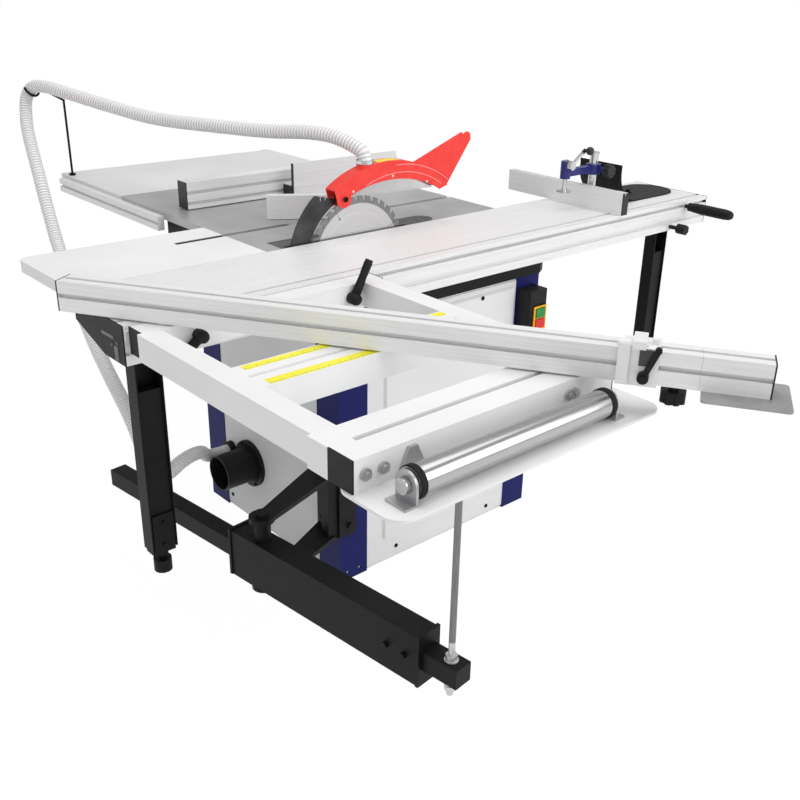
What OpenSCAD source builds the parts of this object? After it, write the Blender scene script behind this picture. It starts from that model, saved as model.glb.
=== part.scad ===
// Sliding table saw on a sheet steel cabinet, with a cast iron table, a long sliding
// carriage, a crosscut frame with a swivelled fence, a swing arm and a hose to the guard.
// X points to the operator's end, Y from the sliding carriage across the cast table, Z up.
// The origin is on the floor under the middle of the blade.

/* [Table] */
// Height of the table top above the floor
table_height = 840; // [820:1:880]
// Length of the cast table along the cut
table_length = 800; // [780:1:820]
// Width of the cast table
table_width = 762; // [700:1:860]
// Thickness of the cast table plate
table_thick = 20; // [16:1:24]
// Distance from the rear edge of the cast table to the blade centre
blade_setback = 292; // [286:1:300]
// Gap between the blade plane and the near edge of the tables
table_gap = 8; // [7:1:9]
// Distance from the blade plane to the middle of the mitre slot
slot_offset = 185; // [175:1:200]
// Width of the mitre slot
slot_width = 19; // [17:0.5:22]
// Depth of the mitre slot
slot_depth = 10; // [8:0.5:12]
// Length of the rear extension table
rear_length = 493; // [440:1:540]
// Width of the rear extension table
rear_width = 295; // [280:1:330]
// Height of the folded edge of the rear extension table
rear_edge = 28; // [24:1:36]
// Width of the far extension table
far_width = 420; // [360:1:440]
// Height of the folded edge of the far extension table
far_edge = 25; // [20:1:32]
// Thickness of the folded sheet of both extension tables
sheet = 3; // [2:0.5:4]

/* [Cabinet] */
// Length of the cabinet along the cut
cabinet_length = 704; // [690:1:720]
// Width of the cabinet
cabinet_width = 632; // [600:1:660]
// Width of each leg of the blue corner posts
post_width = 90; // [80:1:100]
// Thickness of the corner posts
post_sheet = 4; // [3:0.5:5]
// Drop from the table top to the top edge of the cabinet
cabinet_drop = 115; // [110:1:120]
// Diameter of the dust outlet pipe
dust_pipe = 100; // [90:1:110]
// Length of the dust outlet pipe
dust_reach = 95; // [80:1:110]
// Diameter of the handwheels on the operator's side
handwheel = 190; // [170:1:210]

/* [Sliding carriage] */
// Length of the slide beam and of the carriage
slide_length = 2005; // [1960:1:2060]
// Width of the carriage
carriage_width = 277; // [270:1:284]
// Thickness of the carriage
carriage_thick = 30; // [28:1:34]
// Depth from the table top to the underside of the slide beam
beam_drop = 84; // [80:1:88]
// Length of the leg channels under the slide beam
leg_channel = 456; // [440:1:480]
// Width of the leg channels
leg_width = 60; // [54:1:66]
// Diameter of the adjustable feet
foot_size = 40; // [34:1:46]
// Length of the push handle
handle_length = 165; // [140:1:180]

/* [Crosscut frame] */
// Length of the crosscut frame along the cut
frame_length = 600; // [590:1:610]
// Reach of the crosscut frame away from the carriage
frame_reach = 709; // [700:1:720]
// Height of the frame tubes
frame_tube = 55; // [50:1:60]
// Width of the two long frame tubes
side_tube = 48; // [44:1:52]
// Width of the outer member with the curved fence slot
outer_member = 110; // [104:1:116]
// Diameter of the work roller
roller_size = 50; // [46:1:52]
// Length of the work roller
roller_length = 450; // [430:1:456]

/* [Crosscut fence] */
// Length of the crosscut fence with its extension pushed in
fence_length = 1344; // [1334:1:1360]
// Width of the fence extrusion
fence_width = 50; // [48:1:54]
// Height of the fence extrusion
fence_height = 62; // [58:1:66]
// Angle of the fence from square
fence_angle = 32.5; // [31.5:0.1:33.5]
// Length of the fence extension outside the fence
extension_length = 116; // [110:1:124]

/* [Blade and guard] */
// Diameter of the saw blade
blade_size = 315; // [308:1:318]
// Height of the blade above the table at rest
blade_rise = 98.5; // [95:0.5:100]
// Thickness of the blade body
blade_thick = 3; // [2.4:0.2:3.4]
// Number of teeth
tooth_count = 36; // [24:2:48]
// Thickness of the riving knife
knife_thick = 2.5; // [2.2:0.1:2.8]
// Width of the guard across the blade
guard_width = 40; // [36:1:44]
// Wall of the guard
guard_wall = 3; // [2:0.5:4]

/* [Rip fence and mitre gauge] */
// Length of the rip fence carrier beam
rip_beam_length = 775; // [740:1:790]
// Length of the rip fence face
rip_face_length = 399; // [380:1:420]
// Height of the rip fence face
rip_face_height = 102; // [95:1:110]
// Length of the mitre gauge bar
mitre_bar_length = 340; // [320:1:380]
// Length of the mitre gauge fence
mitre_fence_length = 280; // [260:1:290]
// Height of the mitre gauge fence
mitre_fence_height = 65; // [60:1:70]
// Length of the short fence across the carriage
short_fence_length = 450; // [430:1:460]
// Height of the short fence
short_fence_height = 63; // [58:1:68]

/* [Swing arm] */
// Distance from the arm's pivot to the prop rod
arm_reach = 570; // [560:1:580]
// Width of the box tube of the arm
arm_width = 60; // [56:1:64]
// Height of the box tube of the arm
arm_height = 120; // [114:1:124]
// Size of the square inner tube
inner_tube = 45; // [42:1:48]
// Diameter of the prop rod
prop_size = 14; // [12:1:16]

/* [Hose] */
// Outer diameter of the dust hose
hose_size = 40; // [36:1:42]
// Number of ribs on the dust hose
hose_ribs = 160; // [120:1:180]

/* [Hidden] */

run_gap = 0.3;
fit_gap = 0.05;
cap_thick = 3;
floor_z = -table_height;

near_edge = -table_gap;
far_edge_y = near_edge + table_width;
pocket_depth = 6;
insert_rear = 45;
insert_front = 573;
insert_width = 68;

cabinet_x0 = 20;
cabinet_x1 = cabinet_x0 + cabinet_length;
cabinet_y0 = -265;
cabinet_y1 = cabinet_y0 + cabinet_width;
panel_step = 2;
panel_rear = cabinet_x0 + panel_step;
panel_front = cabinet_x1 - panel_step;
dust_y = 145;
dust_z = floor_z + 190;
hose_end_y = 243;
hose_end_z = floor_z + 195;
hook_share = 0.39;
wheel_z = -330;
rise_wheel_y = -40;
tilt_wheel_y = 200;

carriage_far = -10;
carriage_near = carriage_far - carriage_width;
slide_x0 = -515;
slide_x1 = slide_x0 + slide_length;
beam_top = -carriage_thick - run_gap;
leg_x = [slide_x0 + 56, slide_x1 - 185];
handle_x = slide_x1 - 111;
shoe_x = slide_x1 - 250;
short_fence_x = 1030;
leg_y = carriage_near + 25;
leg_depth = 40;

frame_x1 = 80;
frame_x0 = frame_x1 - frame_length;
frame_y1 = carriage_near - 8;
frame_y0 = frame_y1 - frame_reach;
inner_member = 50;
middle_y0 = frame_y1 - 402;
middle_member = 101;
outer_y1 = frame_y0 + outer_member;
slot_y = frame_y0 + 56;
pad_sheet = 5;
roller_y = frame_y0 - 64;
roller_z = pad_sheet - frame_tube + roller_size / 2 - 1;
roller_x0 = frame_x0 + 50;

fence_z = 4;
fence_pivot = [-438, -312];
fence_pivot_along = 216.5;
fence_pivot_across = 25;
seam_x = fence_length - extension_length;
stop_x = seam_x - 140;

blade_r = blade_size / 2;
blade_z = blade_rise - blade_r;
guard_bolt = [233, blade_z + 160];
guard_bottom = blade_z + 145;
port = [315, blade_z + 233];

motor_x = 390;
motor_z = -230;

arm_pivot = [-245, -318];
arm_angle = 6.5;
arm_top = floor_z + 270;
arm_bottom = arm_top - arm_height;
tube_z1 = arm_top - 35;
tube_z0 = tube_z1 - inner_tube;
arm_end = arm_reach - 58;
tube_back = 598;
prop_x = arm_pivot[0] + arm_reach * sin(arm_angle);

hose_path = [[315, 0, 178.5], [315, 1, 190], [311, 16, 212], [286, 82, 236],
    [257, 158, 241], [212, 279, 232], [159, 422, 229], [78, 640, 230],
    [19, 800, 249], [-36, 949, 272], [-66, 1040, 284], [-84, 1098, 278],
    [-97, 1124, 246], [-110, 1112, 200], [-127, 1070, 150], [-153, 970, 60],
    [-176, 866, -55], [-200, 763, -135], [-246, 560, -236], [-268, 436, -308],
    [-292, 305, -357], [-319, 165, -396], [-338, 75, -431], [-340, 40, -478],
    [-312, 52, -527], [-269, 75, -554], [-213, 110, -556], [-154, 152, -570],
    [-104, 196, -597], [-66, 228, -632], [-22, 243, -645], [22, 243, -645]];

module at_table() translate([-blade_setback, 0, table_height]) children();

module block(x, y, z)
    translate([x[0], y[0], z[0]]) cube([x[1] - x[0], y[1] - y[0], z[1] - z[0]]);

module bar_x(d, x, y, z)
    translate([x[0], y, z]) rotate([0, 90, 0]) cylinder(d = d, h = x[1] - x[0], $fn = 48);

module bar_y(d, x, y, z)
    translate([x, y[1], z]) rotate([90, 0, 0]) cylinder(d = d, h = y[1] - y[0], $fn = 48);

module bar_z(d, x, y, z)
    translate([x, y, z[0]]) cylinder(d = d, h = z[1] - z[0], $fn = 48);

// A profile drawn with Y across and Z up, run along X.
module along_x(x)
    translate([x[0], 0, 0]) rotate([90, 0, 90]) linear_extrude(x[1] - x[0]) children();

// A profile drawn with X across and Z up, run along Y.
module along_y(y)
    translate([0, y[1], 0]) rotate([90, 0, 0]) linear_extrude(y[1] - y[0]) children();

module flat(z)
    translate([0, 0, z[0]]) linear_extrude(z[1] - z[0]) children();

module disc(d, at)
    translate(at) circle(d = d, $fn = 64);

module rounded(x, y, r) {
    translate([x[0] + r, y[0]]) square([x[1] - x[0] - 2 * r, y[1] - y[0]]);
    translate([x[0], y[0] + r]) square([x[1] - x[0], y[1] - y[0] - 2 * r]);
    for (cx = [x[0] + r, x[1] - r], cy = [y[0] + r, y[1] - r]) disc(2 * r, [cx, cy]);
}

module hexagon(d, h) cylinder(d = d, h = h, $fn = 6);

// Cabinet

module post(x, y, sx, sy) {
    translate([x, y, floor_z]) mirror([sx, 0, 0]) mirror([0, sy, 0]) {
        cube([post_width, post_sheet, table_height - cabinet_drop]);
        cube([post_sheet, post_width, table_height - cabinet_drop]);
    }
}

module corner_posts() {
    color("darkblue") at_table() {
        difference() {
            union() {
                post(cabinet_x0, cabinet_y0, 0, 0);
                post(cabinet_x1, cabinet_y0, 1, 0);
                post(cabinet_x0, cabinet_y1, 0, 1);
                post(cabinet_x1, cabinet_y1, 1, 1);
            }
            for (hole = [25, 65]) {
                bar_y(9, cabinet_x0 + hole, [cabinet_y0 - 1, cabinet_y0 + post_sheet + 1],
                    floor_z + 22);
            }
        }
    }
}

module panel_holes() {
    bar_x(dust_pipe - 8, [cabinet_x0, cabinet_x0 + 20], dust_y, dust_z);
    bar_x(hose_size - 8, [cabinet_x0, cabinet_x0 + 20], hose_end_y, hose_end_z);
    for (wheel_y = [rise_wheel_y, tilt_wheel_y])
        bar_x(20 + 2 * fit_gap, [cabinet_x1 - 20, cabinet_x1], wheel_y, wheel_z);
}

module cabinet_panels() {
    in_x = [cabinet_x0 + post_sheet, cabinet_x1 - post_sheet];
    in_y = [cabinet_y0 + post_sheet, cabinet_y1 - post_sheet];
    step_z = [floor_z + 10, -cabinet_drop - 12];
    color("whitesmoke") at_table() difference() {
        union() {
            difference() {
                block(in_x, in_y, [floor_z + 10, -cabinet_drop]);
                block([in_x[0] + sheet, in_x[1] - sheet], [in_y[0] + sheet, in_y[1] - sheet],
                    [floor_z, 0]);
            }
            block(in_x + [sheet, -sheet], in_y + [sheet, -sheet], [floor_z, floor_z + 10 + sheet]);
            block([panel_rear, panel_front], [cabinet_y0 + post_width, cabinet_y1 - post_width],
                step_z);
            block([cabinet_x0 + post_width, cabinet_x1 - post_width],
                [cabinet_y0 + panel_step, cabinet_y1 - panel_step], step_z);
        }
        block(in_x + [2 * sheet, -2 * sheet], in_y + [2 * sheet, -2 * sheet],
            [floor_z + sheet, floor_z + 11 + sheet]);
        block(in_x + [sheet, -sheet], in_y + [sheet, -sheet], [floor_z + 10 + sheet, 0]);
        panel_holes();
    }
}

// Frame between the cabinet and the tables, with the strip that carries the slide beam
// and the two cradles for the tilting blade unit.

module cradle(x) {
    along_x(x) difference() {
        translate([-2, -158]) square([150, 78]);
        circle(r = 130 + run_gap, $fn = 96);
    }
}

module upper_frame() {
    wall = 10;
    x = [15, cabinet_x1 - 4];
    y = [near_edge, 510];
    z = [-cabinet_drop, -table_thick];
    color("dimgray") at_table() {
        difference() {
            block(x, y, z);
            block(x + [wall, -wall], y + [wall, -wall], [z[0] - 1, z[1] + 1]);
            block([26, 690], [y[0] - 1, y[0] + wall + 1], [z[0] - 1, z[1] + 1]);
        }
        cradle([28, 45]);
        cradle([660, 680]);
        block([24, 30], [108, 146], [-cabinet_drop + run_gap, -82]);
        block([44, x[1] - wall - 4], [140, 148], [-140, -cabinet_drop + 6]);
        block([600, x[1] - wall + 4], [138, 150], [-cabinet_drop + run_gap, -90]);
        flat([-cabinet_drop, -beam_drop]) polygon([[15, -280], [cabinet_x1 - 14, -280],
            [cabinet_x1 + 16, -262], [cabinet_x1 + 16, -140], [15, -140]]);
    }
}

// Tables

module insert_outline(gap) {
    r = insert_width / 2 - gap;
    middle = near_edge + insert_width / 2;
    translate([insert_rear + gap, near_edge - (gap > 0 ? 0 : 1)])
        square([insert_front - insert_rear - insert_width / 2 - gap,
            insert_width - gap + (gap > 0 ? 0 : 1)]);
    disc(2 * r, [insert_front - insert_width / 2, middle]);
}

module cast_table() {
    color("gray") at_table() difference() {
        block([0, table_length], [near_edge, far_edge_y], [-table_thick, 0]);
        block([-1, table_length + 1], [slot_offset - slot_width / 2, slot_offset + slot_width / 2],
            [-slot_depth, 1]);
        flat([-pocket_depth, 1]) insert_outline(0);
        block([insert_rear + 8, insert_front - 75], [near_edge - 1, near_edge + insert_width - 10],
            [-table_thick - 1, 0]);
    }
}

module table_insert() {
    color("dimgray") at_table() difference() {
        flat([-pocket_depth, 0]) insert_outline(run_gap);
        block([58, 455], [near_edge - 1, 4.5], [-pocket_depth - 1, 1]);
        for (screw = [510, 545]) bar_z(7, screw, near_edge + 20, [-2, 1]);
    }
}

module pan(x, y, edge, r, corners) {
    difference() {
        flat([-edge, 0]) union() {
            translate([x[0], y[0] + r]) square([x[1] - x[0], y[1] - y[0] - 2 * r]);
            translate([x[0] + (corners[0] ? r : 0), y[0]])
                square([x[1] - x[0] - (corners[0] ? r : 0) - (corners[1] ? r : 0), r]);
            translate([x[0] + (corners[2] ? r : 0), y[1] - r])
                square([x[1] - x[0] - (corners[2] ? r : 0) - (corners[3] ? r : 0), r]);
            if (corners[0]) disc(2 * r, [x[0] + r, y[0] + r]);
            if (corners[1]) disc(2 * r, [x[1] - r, y[0] + r]);
            if (corners[2]) disc(2 * r, [x[0] + r, y[1] - r]);
            if (corners[3]) disc(2 * r, [x[1] - r, y[1] - r]);
        }
        block([x[0] + sheet, x[1] - sheet], [y[0] + r, y[1] - r], [-edge - 1, -sheet]);
        block([x[0] + r, x[1] - r], [y[0] + sheet, y[1] - sheet], [-edge - 1, -sheet]);
    }
}

module rear_table() {
    color("white") at_table() difference() {
        pan([-rear_length, 0], [near_edge, near_edge + rear_width], rear_edge, 26,
            [true, false, true, false]);
        block([-140, 1], [slot_offset - slot_width / 2, slot_offset + slot_width / 2],
            [-slot_depth, 1]);
    }
    color("white") at_table() difference() {
        block([-150, -sheet], [slot_offset - slot_width / 2 - sheet, slot_offset + slot_width / 2 + sheet],
            [-slot_depth - sheet, -sheet]);
        block([-140, 1], [slot_offset - slot_width / 2, slot_offset + slot_width / 2],
            [-slot_depth, 1]);
    }
}

module far_table() {
    color("whitesmoke") at_table()
        pan([0, table_length - 5], [far_edge_y, far_edge_y + far_width], far_edge, 6,
            [false, false, true, true]);
}

module rail_profile(x, z) {
    difference() {
        translate([x[0], z[0]]) square([x[1] - x[0], z[1] - z[0]]);
        translate([x[0] - 1, (z[0] + z[1]) / 2 - 4]) square([9, 8]);
    }
}

module fence_rails() {
    color("silver") at_table() {
        along_y([500, far_edge_y + far_width - 30]) rail_profile([-20, 0], [-50, -10]);
        along_y([near_edge, far_edge_y + far_width + 50])
            rail_profile([table_length, table_length + 30], [-40, -8]);
    }
}

// Slide beam, its end caps, the legs under it and the sliding carriage

module beam_profile() {
    polygon([[carriage_near, -beam_drop], [carriage_near, beam_top], [-75, beam_top],
        [-75, beam_top - 13], [-200, -beam_drop]]);
}

module slide_beam() {
    color("silver") at_table() along_x([slide_x0, slide_x1]) difference() {
        beam_profile();
        translate([carriage_near - 1, (beam_top - beam_drop) / 2 - 6]) square([9, 12]);
    }
}

module beam_caps() {
    color("black") at_table() {
        along_x([slide_x0 - cap_thick, slide_x0]) beam_profile();
        along_x([slide_x1, slide_x1 + cap_thick]) beam_profile();
    }
}

module leg_channels() {
    wall = 3;
    color("black") at_table() for (x = leg_x) {
        difference() {
            block([x - leg_width / 2, x + leg_width / 2], [leg_y, leg_y + leg_depth],
                [-beam_drop - leg_channel, -beam_drop]);
            block([x - leg_width / 2 + wall, x + leg_width / 2 - wall],
                [leg_y - 1, leg_y + leg_depth - wall],
                [-beam_drop - leg_channel - 1, -beam_drop - 4]);
        }
    }
}

module leg_foot(x) {
    side = leg_width / 2 - 3 - run_gap;
    back = leg_y + leg_depth - 3 - run_gap;
    z1 = -beam_drop - 76;
    z0 = -beam_drop - leg_channel - 10;
    color("black") at_table() {
        block([x - side, x + side], [leg_y + 6, back], [z0, z1]);
        block([x - side + 2, x + side - 2], [leg_y, leg_y + 6], [z0 + 4, z0 + 99]);
        for (z = [z0 + 24, z0 + 78]) bar_y(10, x, [leg_y - 4, leg_y], z);
        bar_z(16, x, leg_y + 20, [z0 - 20, z0]);
        bar_z(28, x, leg_y + 20, [z0 - 8, z0]);
        bar_z(foot_size, x, leg_y + 20, [z0 - 49, z0 - 19]);
    }
}

module rear_leg_foot() leg_foot(leg_x[0]);

module front_leg_foot() leg_foot(leg_x[1]);

module carriage_profile() {
    difference() {
        polygon([[carriage_near, -carriage_thick], [carriage_near, 0], [carriage_far, 0],
            [carriage_far, -4], [carriage_far - 22, -12], [carriage_far - 45, -carriage_thick]]);
        translate([carriage_near + 26, -7]) square([10, 8]);
        translate([carriage_near + 20, -12]) square([22, 5.5]);
        for (y = [carriage_near + 8, carriage_near + 118, carriage_far - 60])
            translate([y, -1.5]) square([4, 3]);
        translate([carriage_near - 1, -20]) square([7, 9]);
        translate([carriage_near + 5.5, -24]) square([5, 17]);
    }
}

module carriage() {
    color("silver") at_table() {
        along_x([slide_x0, slide_x1]) carriage_profile();
        block([frame_x0 + 5, frame_x1 + 5], [frame_y1, carriage_near], [-carriage_thick, -10]);
    }
}

module carriage_caps() {
    color("black") at_table() {
        for (x = [slide_x0 - cap_thick, slide_x1])
            along_x([x, x + cap_thick])
                polygon([[carriage_near, -carriage_thick], [carriage_near, 0], [carriage_far, 0],
                    [carriage_far, -4], [carriage_far - 22, -12],
                    [carriage_far - 45, -carriage_thick]]);
        for (x = [frame_x0 - cap_thick, frame_x1])
            block([x, x + cap_thick], [frame_y0, outer_y1], [-frame_tube, 0]);
        for (x = [frame_x0 + 15 - cap_thick, frame_x1 + 5])
            block([x, x + cap_thick], [frame_y1 - inner_member, frame_y1], [-frame_tube, 0]);
    }
}

module grip(length) {
    rotate_extrude($fn = 48) polygon([[0, 0], [6, 0], [6, 14], [13, 14], [13, 24],
        [14, 30], [16, 60], [16, length - 24], [14, length - 8], [10, length], [0, length]]);
}

module push_handle() {
    color("black") at_table()
        translate([handle_x, carriage_near, -18]) rotate([90, 0, 0]) grip(handle_length);
}

module carriage_knob() {
    z = (beam_top - beam_drop) / 2 - 15;
    color("black") at_table() translate([leg_x[1], carriage_near - run_gap, z]) rotate([90, 0, 0]) {
        cylinder(d = 12, h = 32, $fn = 32);
        difference() {
            translate([0, 0, 30]) cylinder(d = 30, h = 30, $fn = 48);
            for (a = [0:60:300]) rotate([0, 0, a]) translate([18, 0, 34])
                cylinder(d = 10, h = 30, $fn = 24);
        }
    }
}

module shoe() {
    color("black") at_table() {
        along_y([-198, -40]) {
            translate([shoe_x, 0]) square([160, 4]);
            difference() {
                intersection() {
                    disc(190, [shoe_x, 95]);
                    translate([shoe_x - 100, 0]) square([100, 95]);
                }
                disc(182, [shoe_x, 95]);
            }
            translate([shoe_x - 95, 94]) square([4, 24]);
        }
        translate([shoe_x + 160, -119, 0]) intersection() {
            cylinder(r = 79, h = 4, $fn = 64);
            translate([0, -79, 0]) cube([79, 158, 4]);
        }
        bar_z(14, shoe_x + 60, -119, [4, 16]);
        bar_z(24, shoe_x + 60, -119, [4, 8]);
    }
}

// Crosscut frame with its roller and its clamp levers

module crosscut_frame() {
    z = [-frame_tube, 0];
    color("white") at_table() difference() {
        union() {
            block([frame_x0 + 15, frame_x1 + 5], [frame_y1 - inner_member, frame_y1], z);
            block([frame_x0 + 5, frame_x0 + 5 + side_tube], [outer_y1, frame_y1 - inner_member], z);
            block([frame_x0 + 5 + side_tube, frame_x1 - 50],
                [middle_y0, middle_y0 + middle_member], z);
            block([frame_x1 - 50, frame_x1], [outer_y1, frame_y1 - inner_member], z);
            block([frame_x0, frame_x1], [frame_y0, outer_y1], z);
            block([prop_x - 50, prop_x + 50], [slot_y - 7, outer_y1 - 2],
                [-frame_tube - pad_sheet, -frame_tube]);
        }
        block([-476, -20], [slot_y - 6, slot_y + 6], [-12, 1]);
        block([-476, -20], [slot_y - 14, slot_y + 14], [-26, -10]);
        block([frame_x0 + 5 + side_tube + 1, frame_x1 - 51], [middle_y0 + 44, middle_y0 + 54],
            [-8, 1]);
        bar_z(12 + 2 * fit_gap, fence_pivot[0], fence_pivot[1], [-24, 1]);
        for (x = [-388, -4]) bar_y(14, x, [frame_y1 - inner_member - 1, frame_y1 - 30], -29);
    }
}

module bracket(x, flange) {
    w = 45;
    z0 = -frame_tube;
    difference() {
        union() {
            along_x([x, x + 5]) {
                translate([roller_y - w / 2, z0]) square([w, roller_z - z0]);
                disc(w, [roller_y, roller_z]);
            }
            block([min(x, x + flange), max(x + 5, x + 5 + flange)],
                [roller_y - w / 2, roller_y + w / 2], [z0, z0 + 4]);
        }
        bar_x(12 + 2 * fit_gap, [x - 1, x + 6], roller_y, roller_z);
    }
}

module frame_fittings() {
    z = -frame_tube / 2;
    color("silver") at_table() {
        bracket(roller_x0 - 7, -20);
        bracket(roller_x0 + roller_length + 2, 20);
        for (x = [frame_x0 + 20, frame_x0 + 54, frame_x1 - 124, frame_x1 - 109]) {
            bar_y(20, x, [frame_y0 - 5, frame_y0], z);
            bar_y(11, x, [frame_y0 - 10, frame_y0 - 5], z);
        }
        along_y([frame_y0 - 6, frame_y0])
            polygon([[-440, -frame_tube], [-380, -frame_tube], [-402, -8], [-418, -8]]);
        bar_z(11, -33, slot_y, [-20, fence_z - run_gap]);
        bar_z(24, -33, slot_y, [-26, -20]);
    }
}

module roller_plate() {
    z = [-frame_tube - pad_sheet, -frame_tube];
    color("lightgray") at_table() difference() {
        flat(z) rounded([frame_x0 - 8, frame_x1 + 20], [frame_y0 - 106, frame_y0 + 44], 35);
        block([prop_x - 52, prop_x + 52], [slot_y - 9, slot_y + 9], [z[0] - 1, z[1] + 1]);
        for (x = [roller_x0 + 30, roller_x0 + roller_length - 60])
            block([x, x + 30], [roller_y - 4, roller_y + 4], [z[0] - 1, z[1] + 1]);
    }
}

module frame_roller() {
    x = [roller_x0, roller_x0 + roller_length];
    color("silver") at_table() {
        bar_x(roller_size, x, roller_y, roller_z);
        bar_x(12, x + [-12, 12], roller_y, roller_z);
        bar_x(20, x + [-1.5, 1.5], roller_y, roller_z);
        for (end = [x[0] - 16, x[1] + 8]) bar_x(26, [end, end + 8], roller_y, roller_z);
    }
}

module clamp_lever(x, z, lean) {
    y = frame_y1 - inner_member;
    color("black") at_table() translate([x, y - run_gap, z]) rotate([90, 0, 0]) {
        cylinder(d = 26, h = 16, $fn = 48);
        translate([0, 0, 16]) cylinder(d = 18, h = 8, $fn = 48);
        rotate([0, 0, lean]) rotate([0, 90, 0]) translate([-11, 0, 0])
            cylinder(d1 = 14, d2 = 10, h = 60, $fn = 32);
        rotate([0, 0, lean]) translate([52, 0, 11]) rotate([0, 90, 0])
            rotate_extrude($fn = 32) polygon([[0, 0], [7, 0], [9, 8], [9, 34], [6, 40], [0, 40]]);
    }
}

module rear_clamp_lever() clamp_lever(-388, -29, 218);

module front_clamp_lever() clamp_lever(-4, -29, 62);

// Crosscut fence on its pivot, drawn along its own length

module at_fence() at_table()
    translate([fence_pivot[0], fence_pivot[1], 0]) rotate([0, 0, fence_angle - 90])
        translate([-fence_pivot_along, -fence_pivot_across, 0]) children();

module fence_profile() {
    difference() {
        translate([0, fence_z]) square([fence_width, fence_height]);
        translate([fence_width / 2 - 5, fence_z + fence_height - 6]) square([10, 7]);
        translate([fence_width / 2 - 9, fence_z + fence_height - 10]) square([18, 5]);
        translate([-1, fence_z + 28]) square([7, 9]);
        translate([5, fence_z + 24]) square([4, 17]);
    }
}

module fence_bore(gap)
    translate([12 - gap, fence_z + 8 - gap])
        square([fence_width - 20 + 2 * gap, fence_height - 24 + 2 * gap]);

module crosscut_fence() {
    color("gainsboro") at_fence() {
        along_x([0, seam_x]) difference() {
            fence_profile();
            fence_bore(run_gap);
        }
        along_x([-cap_thick, 0]) translate([0, fence_z]) square([fence_width, fence_height]);
        bar_z(12, fence_pivot_along, fence_pivot_across, [-22, fence_z]);
        bar_z(40, fence_pivot_along, fence_pivot_across, [run_gap, fence_z]);
    }
}

module fence_extension() {
    color("gainsboro") at_fence() {
        along_x([seam_x + run_gap, fence_length]) fence_profile();
        along_x([seam_x - 600, seam_x + run_gap]) fence_bore(0);
        along_x([fence_length, fence_length + cap_thick])
            translate([0, fence_z]) square([fence_width, fence_height]);
    }
}

module support_plate() {
    color("gray") at_fence() {
        flat([fence_z - 4, fence_z]) difference() {
            rounded([seam_x + 4, fence_length + 36], [-43, 79], 8);
            disc(9, [seam_x + 24, 62]);
        }
    }
}

module knob_shape(d, h) {
    difference() {
        cylinder(d = d, h = h, $fn = 64);
        for (a = [0:45:315]) rotate([0, 0, a]) translate([d / 2 + 3, 0, -1])
            cylinder(d = 12, h = h + 2, $fn = 24);
    }
}

module fence_knob() {
    color("black") at_fence() translate([seam_x - 40, 22, 0]) {
        translate([0, 0, -30]) knob_shape(45, 22);
        translate([0, 0, -8]) cylinder(d = 18, h = 8, $fn = 32);
        translate([0, 0, -1]) cylinder(d = 10, h = fence_z + 1 - run_gap, $fn = 32);
    }
}

module stop_block() {
    top = fence_z + fence_height + run_gap;
    color("white") at_fence() {
        block([stop_x + 8, stop_x + 70], [-4 - run_gap, fence_width + 4], [top, top + 4]);
        block([stop_x + 8, stop_x + 70], [-4 - run_gap, -run_gap], [fence_z - 3, top]);
        block([stop_x + 23, stop_x + 46], [-14, 38], [top + 4, top + 18]);
        translate([stop_x + 62, 25, top + 4]) hexagon(16, 9);
        bar_x(8, [stop_x - 2, stop_x + 23], -9, top + 11);
        block([stop_x + 19, stop_x + 50], [4, 12], [top + 4, top + 8]);
    }
}

module stop_flap() {
    top = fence_z + fence_height + run_gap;
    color("white") at_fence() difference() {
        union() {
            bar_x(16, [stop_x, stop_x + 20], -9, top + 11);
            block([stop_x, stop_x + 20], [-17, -14], [fence_z + 4, top + 11]);
            block([stop_x, stop_x + 20], [-22, -14], [fence_z + 4, fence_z + 8]);
        }
        bar_x(8 + 2 * fit_gap, [stop_x - 1, stop_x + 21], -9, top + 11);
    }
}

module stop_lever() {
    color("black") at_fence()
        translate([stop_x + 46, -4 - 2 * run_gap, fence_z + 16]) rotate([90, 0, 0]) {
            cylinder(d = 20, h = 14, $fn = 48);
            translate([0, 0, 14]) cylinder(d = 12, h = 4, $fn = 32);
            rotate([0, 0, 68]) translate([0, -5, 5]) cube([56, 10, 8]);
            rotate([0, 0, 68]) translate([56, 0, 5]) cylinder(d = 12, h = 8, $fn = 32);
        }
}

// Short fence on the carriage with its hold-down clamp

module short_fence() {
    x = [short_fence_x, short_fence_x + 22];
    y = [carriage_near - 13, carriage_near - 13 + short_fence_length];
    color("gainsboro") at_table() {
        along_y(y) difference() {
            translate([x[0], 2]) square([x[1] - x[0], short_fence_height]);
            translate([x[1] - 6, 2 + short_fence_height / 2 - 4]) square([7, 8]);
            translate([x[0] + 7, short_fence_height - 5]) square([8, 8]);
        }
        block(x, [carriage_near + 4, carriage_far - 4], [run_gap, 2]);
        block([x[1], x[1] + 3], [y[0], y[0] + 40], [2, 2 + short_fence_height]);
    }
}

clamp_at = [short_fence_x + 54, -140];

module hold_down_post() {
    color("silver") at_table() {
        bar_z(26, clamp_at[0], clamp_at[1], [4, 150]);
        bar_z(46, clamp_at[0], clamp_at[1], [run_gap, 10]);
        block([short_fence_x + 22, clamp_at[0]], clamp_at[1] * [1, 1] + [-14, 14], [run_gap, 10]);
        bar_z(30, clamp_at[0], clamp_at[1], [150, 156]);
    }
}

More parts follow.
